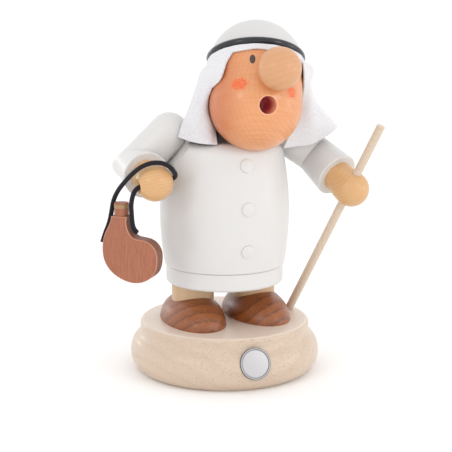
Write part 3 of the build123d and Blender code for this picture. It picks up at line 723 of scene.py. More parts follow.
@dataclass(frozen=True)
class FaceStain:
    """Flesh-coloured stain on turned wood, with dabbed cheeks, a dark mouth hole with a painted highlight on
    its lip, and painted shade towards both sides.

    Turns and the mouth's fall are in degrees, depths of colour are shares, and ring, wander and
    length are in millimetres. A span says where a change starts and where it is complete: from 0
    to 1 of the noise for fibres and lines, in head radii for the shade, and otherwise in metres,
    the edges outward from the hole's wall and the rest inward from the head's skin.
    """

    light: Colour = paint(225, 158, 108)
    dark: Colour = paint(203, 127, 76)
    # The rim colour is painted shade: a deeper, redder stain at the head's sides, mostly on the figure's
    # right.
    rim: Colour = paint(186, 92, 50)
    blush: Colour = paint(230, 90, 20)
    throat: Colour = paint(250, 150, 160)
    throat_wall: Colour = paint(255, 190, 160)
    # The lip colour is a painted highlight on a thin ring round the hole's edge.
    lip_highlight: Colour = paint(238, 184, 144)
    pith_turn: float = 60.0
    pith_reach: float = 0.03
    fibre_turn: float = -30.0
    ring: float = 2.2
    wander: float = 2.0
    length: float = 9.0
    lathe_stretch: Point = (0.04, 0.04, 1.0)
    line_scale: float = 1.7
    line_detail: float = 4.0
    ring_depth: float = 0.16
    fibre_depth: float = 0.22
    fibre_span: Span = (0.3, 0.7)
    line_depth: float = 0.28
    line_span: Span = (0.35, 0.7)
    blush_depth: float = 0.85
    # Painted shade towards the head's sides: its turn, and the strength and span on each side.
    shade_turn: float = -12.0
    right_shade: float = 0.68
    right_span: Span = (0.15, 1.0)
    left_shade: float = 0.3
    left_span: Span = (-0.8, -1.0)
    lip_highlight_depth: float = 0.7
    roughness: float = 0.38
    coat: float = 0.3
    coat_roughness: float = 0.2
    relief: float = 0.00002
    mouth_radius: float = 0.0040
    mouth_fall: float = 21.5
    mouth_turn: float = -2.0
    hole_edge: Span = (0.00024, 0.00008)
    lip_highlight_edge: Span = (0.0006, 0.0003)
    skin: Span = (0.0001, 0.0005)
    hollow: Span = (0.0040, 0.0060)
    # Past this depth, counted in from the skin, the hole's colour turns from the wall's pink to a deeper red.
    deeper_red: Span = (0.0078, 0.0088)
    cheeks: tuple[Blush, ...] = (Blush(-37.5, 0.0017, 0.0046, 0.0034),
                                 Blush(31.0, 0.0002, 0.0040, 0.0034))

    def material(self, head: HeadFrame) -> bpy.types.Material:
        """Makes the stain's material.

        Args:
            head: The head's directions and places.

        Returns:
            The material.
        """
        material, w, shader = new_material("face_wood")
        pith = head.chin + head.outward(self.pith_turn) * self.pith_reach
        grain = w.effect(grain_effect(), Vector=turned_place(w, pith, head.outward(self.fibre_turn)),
                         Ring=self.ring, Wander=self.wander, Length=self.length)
        lathe = turned_place(w, head.chin, head.axis)
        drawn_out = w.vector("MULTIPLY", lathe, self.lathe_stretch)
        lines = w.noise(drawn_out, self.line_scale, self.line_detail)
        rings = w.math("MULTIPLY", grain.outputs["Rings"], self.ring_depth)
        fibres = w.math("MULTIPLY", w.step(grain.outputs["Fibre"], *self.fibre_span), self.fibre_depth)
        turned = w.math("MULTIPLY", w.step(lines, *self.line_span), self.line_depth)
        tone = w.math("ADD", w.math("ADD", rings, fibres), turned)
        colour = self.add_shade(w, w.mix(tone, self.light, self.dark), head)
        for cheek in self.cheeks:
            across = head.axis.cross(head.outward(cheek.turn)) / cheek.half_width
            dab = w.effect(spot_effect(), Vector=place_of(w), Middle=head.on_skin(cheek.turn, cheek.height),
                           Across=across, Up=head.axis / cheek.half_height)
            colour = w.mix(w.math("MULTIPLY", dab.outputs["Mask"], self.blush_depth), colour, self.blush)
        w.feed(shader.inputs["Base Color"], self.add_throat(w, colour, head))
        shader.inputs["Roughness"].default_value = self.roughness
        set_gloss(shader, self.coat, self.coat_roughness)
        w.feed(shader.inputs["Normal"], w.bump(lines, self.relief))
        return material

    def add_shade(self, w: Wiring, colour: object, head: HeadFrame) -> bpy.types.NodeSocket:
        """Paints shade onto the head's sides: the stain deepens towards the rim colour near both edges.

        It grows with the way to the figure's right, and to the left, in head radii.

        Args:
            w: The material's wiring.
            colour: The stain before.
            head: The head's directions and places.

        Returns:
            The stain after.
        """
        offset = w.vector("SUBTRACT", place_of(w), head.chin)
        rightward = head.outward(self.shade_turn).cross(head.axis) / head.radius
        sideways = w.vector("DOT_PRODUCT", offset, rightward)
        # Painted shade: the side shares mix the stain towards the rim colour.
        right = w.math("MULTIPLY", w.step(sideways, *self.right_span), self.right_shade)
        left = w.math("MULTIPLY", w.step(sideways, *self.left_span), self.left_shade)
        return w.mix(w.math("MAXIMUM", right, left), colour, self.rim)

    def add_throat(self, w: Wiring, colour: object, head: HeadFrame) -> bpy.types.NodeSocket:
        """Paints the mouth hole: a painted highlight on the lip, a pink wall, and a deeper red further in.

        Args:
            w: The material's wiring.
            colour: The stain before.
            head: The head's directions and places.

        Returns:
            The stain with the hole.
        """
        fall = math.radians(self.mouth_fall)
        way = head.outward(self.mouth_turn) * math.cos(fall) - head.axis * math.sin(fall)
        offset = w.vector("SUBTRACT", place_of(w), head.chin)
        ahead = w.step(w.vector("DOT_PRODUCT", offset, way), 0.0, MM)
        from_axis = w.vector("LENGTH", w.vector("CROSS_PRODUCT", offset, way))
        in_hole, lip_highlight_mask = (w.step(from_axis, self.mouth_radius + first, self.mouth_radius + last)
                              for first, last in (self.hole_edge, self.lip_highlight_edge))
        in_hole, lip_highlight_mask = (w.math("MULTIPLY", ahead, share) for share in (in_hole, lip_highlight_mask))
        depth = w.vector("LENGTH", offset)
        below, hollow, deep = (w.step(depth, head.radius - first, head.radius - last)
                               for first, last in (self.skin, self.hollow, self.deeper_red))
        # Painted highlight: a pale ring just outside the hole.
        colour = w.mix(w.math("MULTIPLY", lip_highlight_mask, self.lip_highlight_depth), colour, self.lip_highlight)
        inside = w.math("MULTIPLY", w.math("MAXIMUM", in_hole, hollow), below)
        return w.mix(inside, colour, w.mix(deep, self.throat_wall, self.throat))


@dataclass(frozen=True)
class BadgeFinish:
    """Pale pressed metal, darker in the grooves beside its milled rim.

    Spans are shares of the badge's radius. Those of the inner groove count from the rim's inner
    edge.
    """

    face: Colour = paint(192, 190, 192)
    groove: Colour = paint(96, 93, 98)
    groove_depth: float = 0.8
    groove_start: Span = (-0.05, -0.02)
    groove_end: Span = (0.04, 0.01)
    outer_groove: Span = (0.93, 0.97)
    metallic: float = 0.6
    handling: float = 0.3
    smoothest: float = 0.2

    def material(self, inner: float) -> bpy.types.Material:
        """Makes the badge's material on its UV map, whose second value is the share of the radius.

        Args:
            inner: The share of the radius where the rim starts.

        Returns:
            The material.
        """
        material, w, shader = new_material("bright_metal")
        uv = w.add("ShaderNodeUVMap", uv_map="surface").outputs[0]
        reach = w.add("ShaderNodeSeparateXYZ", {"Vector": uv}).outputs[1]
        start, end = (w.step(reach, inner + first, inner + last)
                      for first, last in (self.groove_start, self.groove_end))
        grooves = w.math("MAXIMUM", w.math("MULTIPLY", start, end), w.step(reach, *self.outer_groove))
        share = w.math("MULTIPLY", grooves, self.groove_depth)
        w.feed(shader.inputs["Base Color"], w.mix(share, self.face, self.groove))
        marks = w.effect(handling_effect(), Vector=place_of(w), Depth=self.handling)
        w.feed(shader.inputs["Roughness"], w.math("ADD", marks.outputs["Gloss"], self.smoothest))
        shader.inputs["Metallic"].default_value = self.metallic
        return material


@dataclass
class PlinthGroup:
    """The turned plinth and its plain badge. Turn and tilt are in degrees."""

    pith: Point = (0.01, -0.004, -0.03)
    fibre: Point = (1, 0.12, 0.05)
    # The top's colour is painted light: the top face lit from above, with its sheen.
    top_painted_light: Colour = paint(238, 224, 212)
    top_light_depth: float = 0.6
    top_light_skin: Span = (0.0007, 0.0001)
    badge_radius: float = 0.0074
    badge_thickness: float = 0.0012
    badge_tilt: float = 18.0
    badge_turn: float = 2.4
    badge_reach: float = 0.0439
    badge_height: float = 0.0134
    dome: float = 0.00012
    face_rings: int = 12
    face_span: Span = (0.1, 0.99)
    wall_share: float = 0.6
    rim_width: float = 0.0009
    rim_height: float = 0.00035
    rim_rings: int = 13
    rim_power: float = 0.7
    notch_depth: float = 0.00012
    mills: int = 72
    steps_per_mill: int = 6

    def plinth_material(self) -> bpy.types.Material:
        """The plinth's wood, with painted light on the top face: paler there, for the light and sheen from
        above.

        Returns:
            The material.
        """
        material = LIGHT_WOOD.material("plinth", self.pith, self.fibre)
        w, shader, colour = reopened(material)
        height = w.add("ShaderNodeSeparateXYZ", {"Vector": place_of(w)}).outputs[2]
        # Painted light on the top face, fading in over its last fraction of a millimetre.
        first, last = (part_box("plinth")[1].z - depth for depth in self.top_light_skin)
        share = w.math("MULTIPLY", w.step(height, first, last), self.top_light_depth)
        w.feed(shader.inputs["Base Color"], w.mix(share, colour, self.top_painted_light))
        return material

    def badge_points(self) -> tuple[np.ndarray, np.ndarray]:
        """The badge's skin: rings of points from its middle over the rim and round to the back.

        The face is a shallow dome that falls with the square of the share. The rim is a rounded
        bead, cut by shallow notches whose depth is a cosine of the angle.

        Returns:
            The points by ring and angle, and each one's share of the radius.
        """
        inner = self.badge_radius - self.rim_width
        face = self.badge_thickness - self.rim_height
        share = np.linspace(*self.face_span, self.face_rings)
        bead = np.linspace(0, np.pi, self.rim_rings)
        bead_reach = inner + self.rim_width * (1 - np.cos(bead)) / 2
        bead_rise = face + self.rim_height * np.sin(bead) ** self.rim_power
        back_reach = [self.badge_radius, self.badge_radius, 0.0]
        back_rise = [face * self.wall_share, 0.0, 0.0]
        reach = np.concatenate([[0.0], inner * share, bead_reach, back_reach])
        rise = np.concatenate([[face + self.dome], face + self.dome * (1 - share ** 2), bead_rise, back_rise])
        angle = np.linspace(0, 2 * np.pi, self.mills * self.steps_per_mill, endpoint=False)
        notch = (1 + np.cos(angle * self.mills)) / 2
        on_bead = np.clip((reach - inner) / self.rim_width, 0, 1) * (rise > face)
        height = rise[:, None] - self.notch_depth * on_bead[:, None] * notch
        lean, turn = math.radians(self.badge_tilt), math.radians(self.badge_turn)
        out = np.array([-math.sin(turn), -math.cos(turn), 0])
        normal = out * math.cos(lean) + np.array([0, 0, math.sin(lean)])
        across = np.array([math.cos(turn), -math.sin(turn), 0])
        up = np.cross(normal, across)
        origin = out * self.badge_reach + np.array([0, 0, self.badge_height])
        circle = across * np.cos(angle)[:, None] + up * np.sin(angle)[:, None]
        points = origin + reach[:, None, None] * circle[None] + height[..., None] * normal
        shares = np.broadcast_to((reach / self.badge_radius)[:, None], height.shape)
        return points, shares

    def build(self) -> None:
        """Dresses the plinth and builds the badge."""
        dress("plinth", self.plinth_material())
        points, shares = self.badge_points()
        rings, count = shares.shape
        uv = np.stack([np.broadcast_to(np.arange(count) / count, shares.shape), shares], axis=-1)
        badge = build_mesh("plain_badge", points, grid_faces(rings, count, round_columns=True), uv)
        merge_close(badge)
        badge.data.materials.append(BadgeFinish().material(1 - self.rim_width / self.badge_radius))
        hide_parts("badge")
        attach(badge, Body.BASE.value)
        log.info("plinth and badge")


@dataclass
class Feet:
    """Shoes, legs and the dowels in them.

    An offset goes from a piece's middle to its growth rings' axis. The fibre is the left shoe's,
    and the right one's is its mirror image.
    """

    shoe_offset: Point = (0, 0.02, 0.04)
    shoe_fibre: Point = (1, 0.3, 0.22)
    leg_offset: Point = (0, 0.03, 0)

    def build(self) -> None:
        """Dresses shoes, legs and dowels."""
        for side, sign in (("right", -1), ("left", 1)):
            fibre = Vector(self.shoe_fibre) * Vector((1, sign, 1))
            dress_in_wood(f"{side}_shoe", BROWN_WOOD, self.shoe_offset, fibre)
            dress_in_wood(f"{side}_leg", LEG_WOOD, self.leg_offset, UPRIGHT)
        dress("leg_dowels", LEG_WOOD.material("leg_dowels", FAR_PITH, UPRIGHT))
        log.info("feet")


@dataclass
class Garment:
    """Hem block, robe, buttons and arms in white, and what they hide."""

    lacquered: tuple[str, ...] = ("hem_block", "robe", "upper_button", "middle_button", "lower_button",
                                  "right_upper_arm", "right_sleeve", "left_upper_arm", "left_sleeve")
    plain: tuple[str, ...] = ("shoulder_dowels", "elbow_dowels", "neck_tube")
    metal: tuple[str, ...] = ("cone_tray", "tray_pin")
    dowel_pith: Point = (0, 0.05, 0.1)
    dowel_fibre: Point = (0.7, 0, -0.7)

    def build(self) -> None:
        """Dresses every lacquered piece and those inside."""
        dowel_wood = LEG_WOOD.material("arm_dowels", self.dowel_pith, self.dowel_fibre)
        for names, material in ((self.lacquered, WHITE_LACQUER.material()), (self.plain, dowel_wood),
                                (self.metal, TRAY_METAL.material())):
            for name in names:
                dress(name, material)
        log.info("garment")


@dataclass
class Hands:
    """The two hands and the staff. An offset goes from a piece's middle to its growth rings' axis."""

    right_offset: Point = (0, 0, 0.035)
    right_fibre: Point = (1, 0.15, 0.1)
    left_offset: Point = (-0.02, 0, 0.03)
    left_fibre: Point = (0.6, 0.2, 0.5)
    staff_offset: Point = (0.02, 0, 0)

    def build(self) -> None:
        """Dresses hands and staff, the rings crossing each ball from side to side."""
        dress_in_wood("right_hand", OCHRE_WOOD, self.right_offset, self.right_fibre)
        dress_in_wood("left_hand", OCHRE_WOOD, self.left_offset, self.left_fibre)
        low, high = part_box("staff")
        dress_in_wood("staff", STAFF_WOOD, self.staff_offset, high - low)
        log.info("hands and staff")


@dataclass
class Eye:
    """A painted oval eye that follows the head's round side. Its turn is in degrees."""

    name: str
    turn: float
    height: float = 0.0130
    half_width: float = 0.0013
    half_height: float = 0.00212
    swell: float = 0.00012
    rings: int = 9
    columns: int = 48

    def build(self, head: HeadFrame) -> None:
        """Builds the eye as rings of points round its middle.

        A point lies at a share of the oval's half axes, and the paint swells as the root of what
        is left of the square.

        Args:
            head: The head's directions and places.
        """
        share = np.linspace(0, 1, self.rings)[:, None]
        angle = np.linspace(0, 2 * np.pi, self.columns, endpoint=False)[None, :]
        sideways = self.half_width * share * np.cos(angle)
        upward = self.half_height * share * np.sin(angle)
        swell = self.swell * np.sqrt(np.clip(1 - share ** 2, 0, 1)) * np.ones_like(angle)
        turn = math.radians(self.turn) + sideways / head.radius
        reach = (head.radius + swell)[..., None]
        front, side, axis = (np.array(way) for way in (head.front, head.side, head.axis))
        out = front * np.cos(turn)[..., None] + side * np.sin(turn)[..., None]
        points = np.array(head.chin) + axis * (self.height + upward)[..., None] + out * reach
        eye = build_mesh(self.name, points, grid_faces(self.rings, self.columns, round_columns=True))
        merge_close(eye)
        eye.data.materials.append(EYE_PAINT.material())
        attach(eye, Body.FIGURE.value)


@dataclass
class Head:
    """Head, nose, eyes, cap and black ring."""

    shape: HeadFrame = field(default_factory=HeadFrame)
    eyes: tuple[Eye, ...] = (Eye("right_eye", -22.0), Eye("left_eye", 28.5))
    nose_offset: Point = (0.01, 0, 0.04)
    nose_fibre: Point = (1, 0.1, 0.2)
    cap_stretch: Point = (0.02, 0.02, 1.0)

    def build(self) -> None:
        """Dresses the head's nodes and paints its eyes."""
        dress("head", FaceStain().material(self.shape))
        dress_in_wood("nose", NOSE_WOOD, self.nose_offset, self.nose_fibre)
        # The cap's darker lacquer is painted shade.
        dress("cap", SHADED_CAP_LACQUER.material(self.shape.chin, self.shape.axis, self.cap_stretch))
        dress("head_ring", BLACK_PAINT.material())
        dress("cap_dowel", LEG_WOOD.material("cap_dowel", FAR_PITH, self.shape.axis))
        for eye in self.eyes:
            eye.build(self.shape)
        log.info("head")


@dataclass(frozen=True)
class RoundBar:
    """A tapered bar with round ends that cloth lies on."""

    start: Point
    end: Point
    start_radius: float
    end_radius: float

    def clear(self, points: np.ndarray, gap: float) -> np.ndarray:
        """Moves points that lie within the gap straight out of the bar.

        The nearest place on the middle line is found by projecting onto it.

        Args:
            points: The points.
            gap: How far they stay off.

        Returns:
            The moved points.
        """
        start = np.array(self.start)
        run = np.array(self.end) - start
        share = np.clip((points - start) @ run / (run @ run), 0, 1)[..., None]
        offset = points - (start + share * run)
        distance = np.linalg.norm(offset, axis=-1, keepdims=True)
        wanted = self.start_radius + (self.end_radius - self.start_radius) * share + gap
        return points + offset / np.maximum(distance, TINY) * np.maximum(wanted - distance, 0)


@dataclass(frozen=True)
class RoundedDrum:
    """The robe's top: an upright drum with a rounded edge."""

    radius: float
    top: float
    rounding: float

    def clear(self, points: np.ndarray, gap: float) -> np.ndarray:
        """Moves points that lie within the gap out of the drum, over its top or past its side.

        Round the edge they leave it square to the rounding, and deeper inside by the nearer side.

        Args:
            points: The points.
            gap: How far they stay off.

        Returns:
            The moved points.
        """
        reach = np.linalg.norm(points[..., :2], axis=-1)
        sideways = reach - (self.radius - self.rounding)
        upward = points[..., 2] - (self.top - self.rounding)
        over = np.stack([sideways, upward], axis=-1)
        past = np.maximum(over, 0)
        length = np.linalg.norm(past, axis=-1)
        distance = length + np.minimum(over.max(axis=-1), 0) - self.rounding
        steep = past / np.maximum(length, TINY)[..., None]
        nearer = np.stack([sideways > upward, sideways <= upward], axis=-1).astype(float)
        way = np.where((past.max(axis=-1) > 0)[..., None], steep, nearer)
        push = np.maximum(gap - distance, 0)
        outward = points[..., :2] / np.maximum(reach, TINY)[..., None]
        moved = np.concatenate([outward * way[..., :1], way[..., 1:]], axis=-1)
        return points + moved * push[..., None]


@dataclass(frozen=True)
class Fold:
    """A soft ridge that runs down the cloth.

    Place and width are shares of the way round from the right edge, rise is in metres. The drift
    is how far the place moves on the way down.
    """

    place: float
    width: float
    rise: float
    drift: float = 0.0


@dataclass(frozen=True)
class Wave:
    """An even wave round the head: its height, how many there are, and where they start."""

    height: float
    count: int
    start: float = 0.0

    def at(self, angle: np.ndarray) -> np.ndarray:
        """The height times the sine of count times the angle, past the start, in radians."""
        return self.height * np.sin(angle * self.count + self.start)


@dataclass(frozen=True)
class Tuck:
    """A place where the cloth's upper edge stands off the head, its turn and width in degrees."""

    turn: float
    width: float
    share: float

    def at(self, turns: np.ndarray) -> np.ndarray:
        """A bell curve of the turns about the tuck's own."""
        return self.share * np.exp(-((turns - self.turn) / self.width) ** 2)


@dataclass(frozen=True)
class ClothFinish:
    """Soft white felt with short loose fibres, some drawn out down the cloth and some across it."""

    colour: Colour = paint(226, 225, 227)
    shade: Colour = paint(214, 212, 215)
    down: Point = (1.0, 1.0, 0.35)
    down_scale: float = 2.2
    down_detail: float = 5.0
    across: Point = (0.4, 0.4, 1.0)
    across_scale: float = 3.0
    across_detail: float = 4.0
    fibre_span: Span = (0.38, 0.62)
    roughness: float = 0.85
    sheen: float = 0.25
    specular: float = 0.2
    relief: float = 0.00016

    def material(self) -> bpy.types.Material:
        """Makes the felt's material, its fibres by noise drawn out two ways.

        Returns:
            The material.
        """
        material, w, shader = new_material("white_cloth")
        place = turned_place(w, (0, 0, 0), UPRIGHT)
        long_place = w.vector("MULTIPLY", place, self.down)
        long_fibres = w.noise(long_place, self.down_scale, self.down_detail)
        cross_place = w.vector("MULTIPLY", place, self.across)
        cross_fibres = w.noise(cross_place, self.across_scale, self.across_detail)
        fibres = w.math("MULTIPLY", w.math("ADD", long_fibres, cross_fibres), 0.5)
        share = w.step(fibres, *self.fibre_span)
        w.feed(shader.inputs["Base Color"], w.mix(share, self.shade, self.colour))
        set_soft(shader, self.roughness, self.sheen, self.specular)
        w.feed(shader.inputs["Normal"], w.bump(fibres, self.relief))
        return material


@dataclass
class Headcloth:
    """The white cloth under the ring: a strip over the forehead and the panels that hang from it.

    The shares give five rows of places below the strip, across, back and up from the chin's middle
    in head radii. Each row runs from the right front edge round the back to the left one. The
    opening is in degrees to either side of the face. Arms and robe are what the cloth lies on.
    """

    head: HeadFrame
    thickness: float = 0.0008
    flat: tuple[float, float] = (0.172, 0.048)
    gap: float = 0.00066
    band_radius: float = 0.02205
    band_drop: float = 0.00195
    band_height: float = 0.0027
    opening: float = 46.0
    band_rows: int = 7
    hang_rows: int = 84
    columns: int = 220
    strip_columns: int = 40
    gathers: tuple[Wave, ...] = (Wave(0.00016, 17, 0.6), Wave(0.00008, 31))
    gather_share: float = 0.35
    edge_wave: Wave = Wave(0.0003, 7, 0.4)
    tucks: tuple[Tuck, ...] = (Tuck(-18, 8, 1.0), Tuck(-52, 7, 0.3))
    tuck_wave: Wave = Wave(0.08, 9, 1.0)
    tuck_height: float = 0.0004
    smoothing_rounds: int = 12
    smoothing_share: float = 0.6
    fold_start: float = -0.08
    fold_power: float = 1.3
    robe_radius: float = 0.0267
    robe_rounding: float = 0.0060
    shoulder_side: float = 0.0272
    shoulder_back: float = 0.0014
    shoulder_rise: float = 0.0040
    right_elbow: Point = (-0.0421, 0.0064, 0.1003)
    left_elbow: Point = (0.0462, -0.0022, 0.1027)
    arm_radii: Span = (0.0094, 0.0093)
    hang_shares: tuple[tuple[Point, ...], ...] = (
        ((-0.75, -0.23, 0.92), (-0.93, 0.10, 0.82), (-1.01, 0.41, 0.74), (-0.98, 0.68, 0.66),
         (-0.77, 0.99, 0.50), (-0.42, 1.24, 0.32), (-0.03, 1.31, 0.15), (0.37, 1.26, 0.10),
         (0.70, 1.11, 0.11), (1.02, 0.84, 0.20), (1.22, 0.48, 0.38), (1.34, 0.09, 0.60),
         (1.20, -0.21, 0.76), (0.92, -0.35, 0.88)),
        ((-0.89, -0.21, 0.54), (-1.04, 0.10, 0.47), (-1.12, 0.40, 0.40), (-1.09, 0.69, 0.33),
         (-0.83, 1.02, 0.22), (-0.46, 1.25, 0.13), (-0.05, 1.32, 0.07), (0.34, 1.29, 0.05),
         (0.72, 1.23, 0.04), (1.09, 0.98, 0.06), (1.28, 0.61, 0.15), (1.34, 0.21, 0.26),
         (1.21, -0.12, 0.40), (0.95, -0.37, 0.49)),
        ((-0.85, 0.59, -0.05), (-1.04, 0.29, -0.06), (-1.23, 0.45, -0.11), (-1.25, 0.73, -0.15),
         (-0.98, 1.08, -0.24), (-0.59, 1.35, -0.30), (-0.05, 1.47, -0.32), (0.56, 1.59, -0.32),
         (1.18, 1.70, -0.30), (1.55, 1.31, -0.23), (1.69, 0.78, -0.17), (1.64, 0.32, -0.13),
         (1.37, 0.10, -0.13), (1.06, 0.17, -0.16)),
        ((-0.76, 0.55, -0.43), (-0.98, 0.25, -0.43), (-1.30, 0.40, -0.46), (-1.40, 0.73, -0.50),
         (-1.07, 1.09, -0.50), (-0.65, 1.45, -0.60), (-0.13, 1.70, -0.64), (0.60, 1.92, -0.60),
         (1.31, 1.95, -0.54), (1.74, 1.54, -0.47), (2.00, 1.01, -0.45), (2.03, 0.50, -0.47),
         (1.54, 0.26, -0.56), (0.96, 0.31, -0.61)),
        ((-0.82, 0.16, -0.85), (-1.07, 0.20, -0.84), (-1.30, 0.38, -0.80), (-1.48, 0.72, -0.73),
         (-1.07, 1.11, -0.79), (-0.90, 1.70, -1.18), (-0.45, 2.07, -1.13), (0.09, 2.27, -1.04),
         (0.77, 2.21, -0.92), (1.46, 1.94, -0.80), (2.11, 1.24, -0.66), (2.24, 0.62, -0.64),
         (1.66, 0.52, -0.93), (0.83, 0.43, -1.04)))
    folds: tuple[Fold, ...] = (
        Fold(0.05, 0.014, 0.0004), Fold(0.12, 0.018, 0.0006, 0.01), Fold(0.26, 0.030, 0.0010, -0.01),
        Fold(0.36, 0.035, 0.0016, 0.01), Fold(0.47, 0.035, 0.0018, -0.01), Fold(0.58, 0.035, 0.0016),
        Fold(0.93, 0.020, 0.0010, 0.01))

    def ring_row(self, turns: np.ndarray, below_ring: float) -> np.ndarray:
        """A row round the head at its band, slightly wavy where the cloth is gathered.

        The gathers deepen down the band, and the tucks fade with the square of what is left of it.

        Args:
            turns: The places' turns, in degrees.
            below_ring: How far down the band the row lies.

        Returns:
            The row's points.
        """
        front, side, axis = (np.array(way) for way in (self.head.front, self.head.side, self.head.axis))
        angle = np.radians(turns)
        out = front * np.cos(angle)[:, None] + side * np.sin(angle)[:, None]
        share = below_ring / self.band_height
        gathers = sum(wave.at(angle) for wave in self.gathers)
        gathers *= self.gather_share + (1 - self.gather_share) * share
        tucks = sum(tuck.at(turns) for tuck in self.tucks) + self.tuck_wave.at(angle)
        tucks = np.clip(tucks, 0, 1) * (1 - share) ** 2
        reach = self.band_radius + gathers + self.tuck_height * tucks
        fall = self.edge_wave.at(angle) * share
        middle = np.array(self.head.ring) - axis * (self.band_drop + below_ring)
        return middle - axis * fall[:, None] + out * reach[:, None]

    def band(self, turns: np.ndarray) -> np.ndarray:
        """The band's rows from top to bottom at the given turns, in degrees."""
        below = np.linspace(0, self.band_height, self.band_rows)
        return np.stack([self.ring_row(turns, depth) for depth in below])

    def hanging_rows(self) -> np.ndarray:
        """The rows that shape the hanging panels."""
        return np.array(self.head.chin) + np.array(self.hang_shares) * self.head.radius

    def carriers(self) -> list[RoundBar | RoundedDrum]:
        """The forms that the cloth lies on.

        Returns:
            Head, robe, right upper arm and left upper arm.
        """
        head, top = self.head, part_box("robe")[1].z
        side, back, up = self.shoulder_side, self.shoulder_back, top + self.shoulder_rise
        return [
            RoundBar(tuple(head.chin), tuple(head.ring), head.radius, head.radius),
            RoundedDrum(self.robe_radius, top, self.robe_rounding),
            RoundBar((-side, back, up), self.right_elbow, *self.arm_radii),
            RoundBar((side, back, up), self.left_elbow, *self.arm_radii),
        ]

    def panel(self) -> np.ndarray:
        """The panels' middle surface: rows from the band to the hem, columns round the head.

        Cubics run through the shaping rows both ways. Ridges are added along the surface's normal,
        deeper towards the hem. Then the sheet is smoothed, each point going a share of the way to
        the mean of its four neighbours, and moved off what it lies on.

        Returns:
            The points, row by row.
        """
        band = self.band(np.linspace(-self.opening, self.opening - 360, self.columns))
        levels = through(self.hanging_rows().transpose(1, 0, 2), self.columns).transpose(1, 0, 2)
        hang = through(np.concatenate([band[-1:], levels]), self.hang_rows + 1)[1:]
        sheet = self.add_folds(np.concatenate([band, hang]))
        free = sheet[self.band_rows:]
        carriers = self.carriers()
        for _ in range(self.smoothing_rounds):
            inner = free[1:-1, 1:-1]
            mean = (free[:-2, 1:-1] + free[2:, 1:-1] + free[1:-1, :-2] + free[1:-1, 2:]) / 4
            inner += self.smoothing_share * (mean - inner)
            for carrier in carriers:
                free[:] = carrier.clear(free, self.gap)
        return sheet

    def add_folds(self, sheet: np.ndarray) -> np.ndarray:
        """Raises soft ridges along the normal: a bell curve across, growing down the sheet.

        Args:
            sheet: The points, row by row.

        Returns:
            The folded sheet's points.
        """
        rows, columns = sheet.shape[:2]
        down = np.clip(np.linspace(self.fold_start, 1, rows), 0, 1)[:, None] ** self.fold_power
        across = np.linspace(0, 1, columns)[None, :]
        rise = np.zeros((rows, columns))
        for fold in self.folds:
            place = fold.place + fold.drift * down
            rise += fold.rise * down * np.exp(-((across - place) / fold.width) ** 2)
        normal = np.cross(np.gradient(sheet, axis=0), np.gradient(sheet, axis=1))
        normal /= np.maximum(np.linalg.norm(normal, axis=-1, keepdims=True), TINY)
        return sheet - normal * rise[..., None]

    def build(self) -> None:
        """Builds the cloth as one sheet with a thickness, the strip joined to the panels' ends."""
        panel = self.panel()
        strip = self.band(np.linspace(-self.opening, self.opening, self.strip_columns))
        panel_faces = grid_faces(*panel.shape[:2])
        strip_faces = grid_faces(*strip.shape[:2], start=panel.shape[0] * panel.shape[1])
        points = np.concatenate([panel.reshape(-1, 3), strip.reshape(-1, 3)])
        cloth = build_mesh("white_headcloth", points, np.concatenate([panel_faces, strip_faces]))
        merge_close(cloth)
        skin = cloth.modifiers.new("thickness", "SOLIDIFY")
        skin.thickness = self.thickness
        skin.offset = 0.0
        cloth.data.materials.append(ClothFinish().material())
        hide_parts("headcloth")
        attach(cloth, Body.FIGURE.value)


@dataclass(frozen=True)
class LaceFinish:
    """Matt black woven lace."""

    colour: Colour = paint(34, 32, 40)
    shade: Colour = paint(18, 17, 22)
    strands: int = 6
    weave_depth: float = 0.3
    fuzz_scale: float = 2600.0
    fuzz_detail: float = 3.0
    tone_span: Span = (0.2, 0.8)
    roughness: float = 0.9
    sheen: float = 0.15
    specular: float = 0.25
    relief: float = 0.00012

    def material(self) -> bpy.types.Material:
        """Makes the lace's material, its weave by crossed waves on the piece's UV map.

        Returns:
            The material.
        """
        material, w, shader = new_material("black_lace")
        uv = w.add("ShaderNodeUVMap", uv_map="surface").outputs[0]
        parts = w.add("ShaderNodeSeparateXYZ", {"Vector": uv})
        around = w.math("MULTIPLY", parts.outputs[0], 2 * math.pi * self.strands)
        along = w.math("MULTIPLY", parts.outputs[1], 2 * math.pi)
        first, second = (w.math("SINE", w.math(sign, along, around)) for sign in ("ADD", "SUBTRACT"))
        weave = w.math("MULTIPLY", w.math("MAXIMUM", first, second), self.weave_depth)
        height = w.math("ADD", weave, w.noise(place_of(w), self.fuzz_scale, self.fuzz_detail))
        share = w.step(height, *self.tone_span)
        w.feed(shader.inputs["Base Color"], w.mix(share, self.shade, self.colour))
        set_soft(shader, self.roughness, self.sheen, self.specular)
        w.feed(shader.inputs["Normal"], w.bump(height, self.relief))
        return material


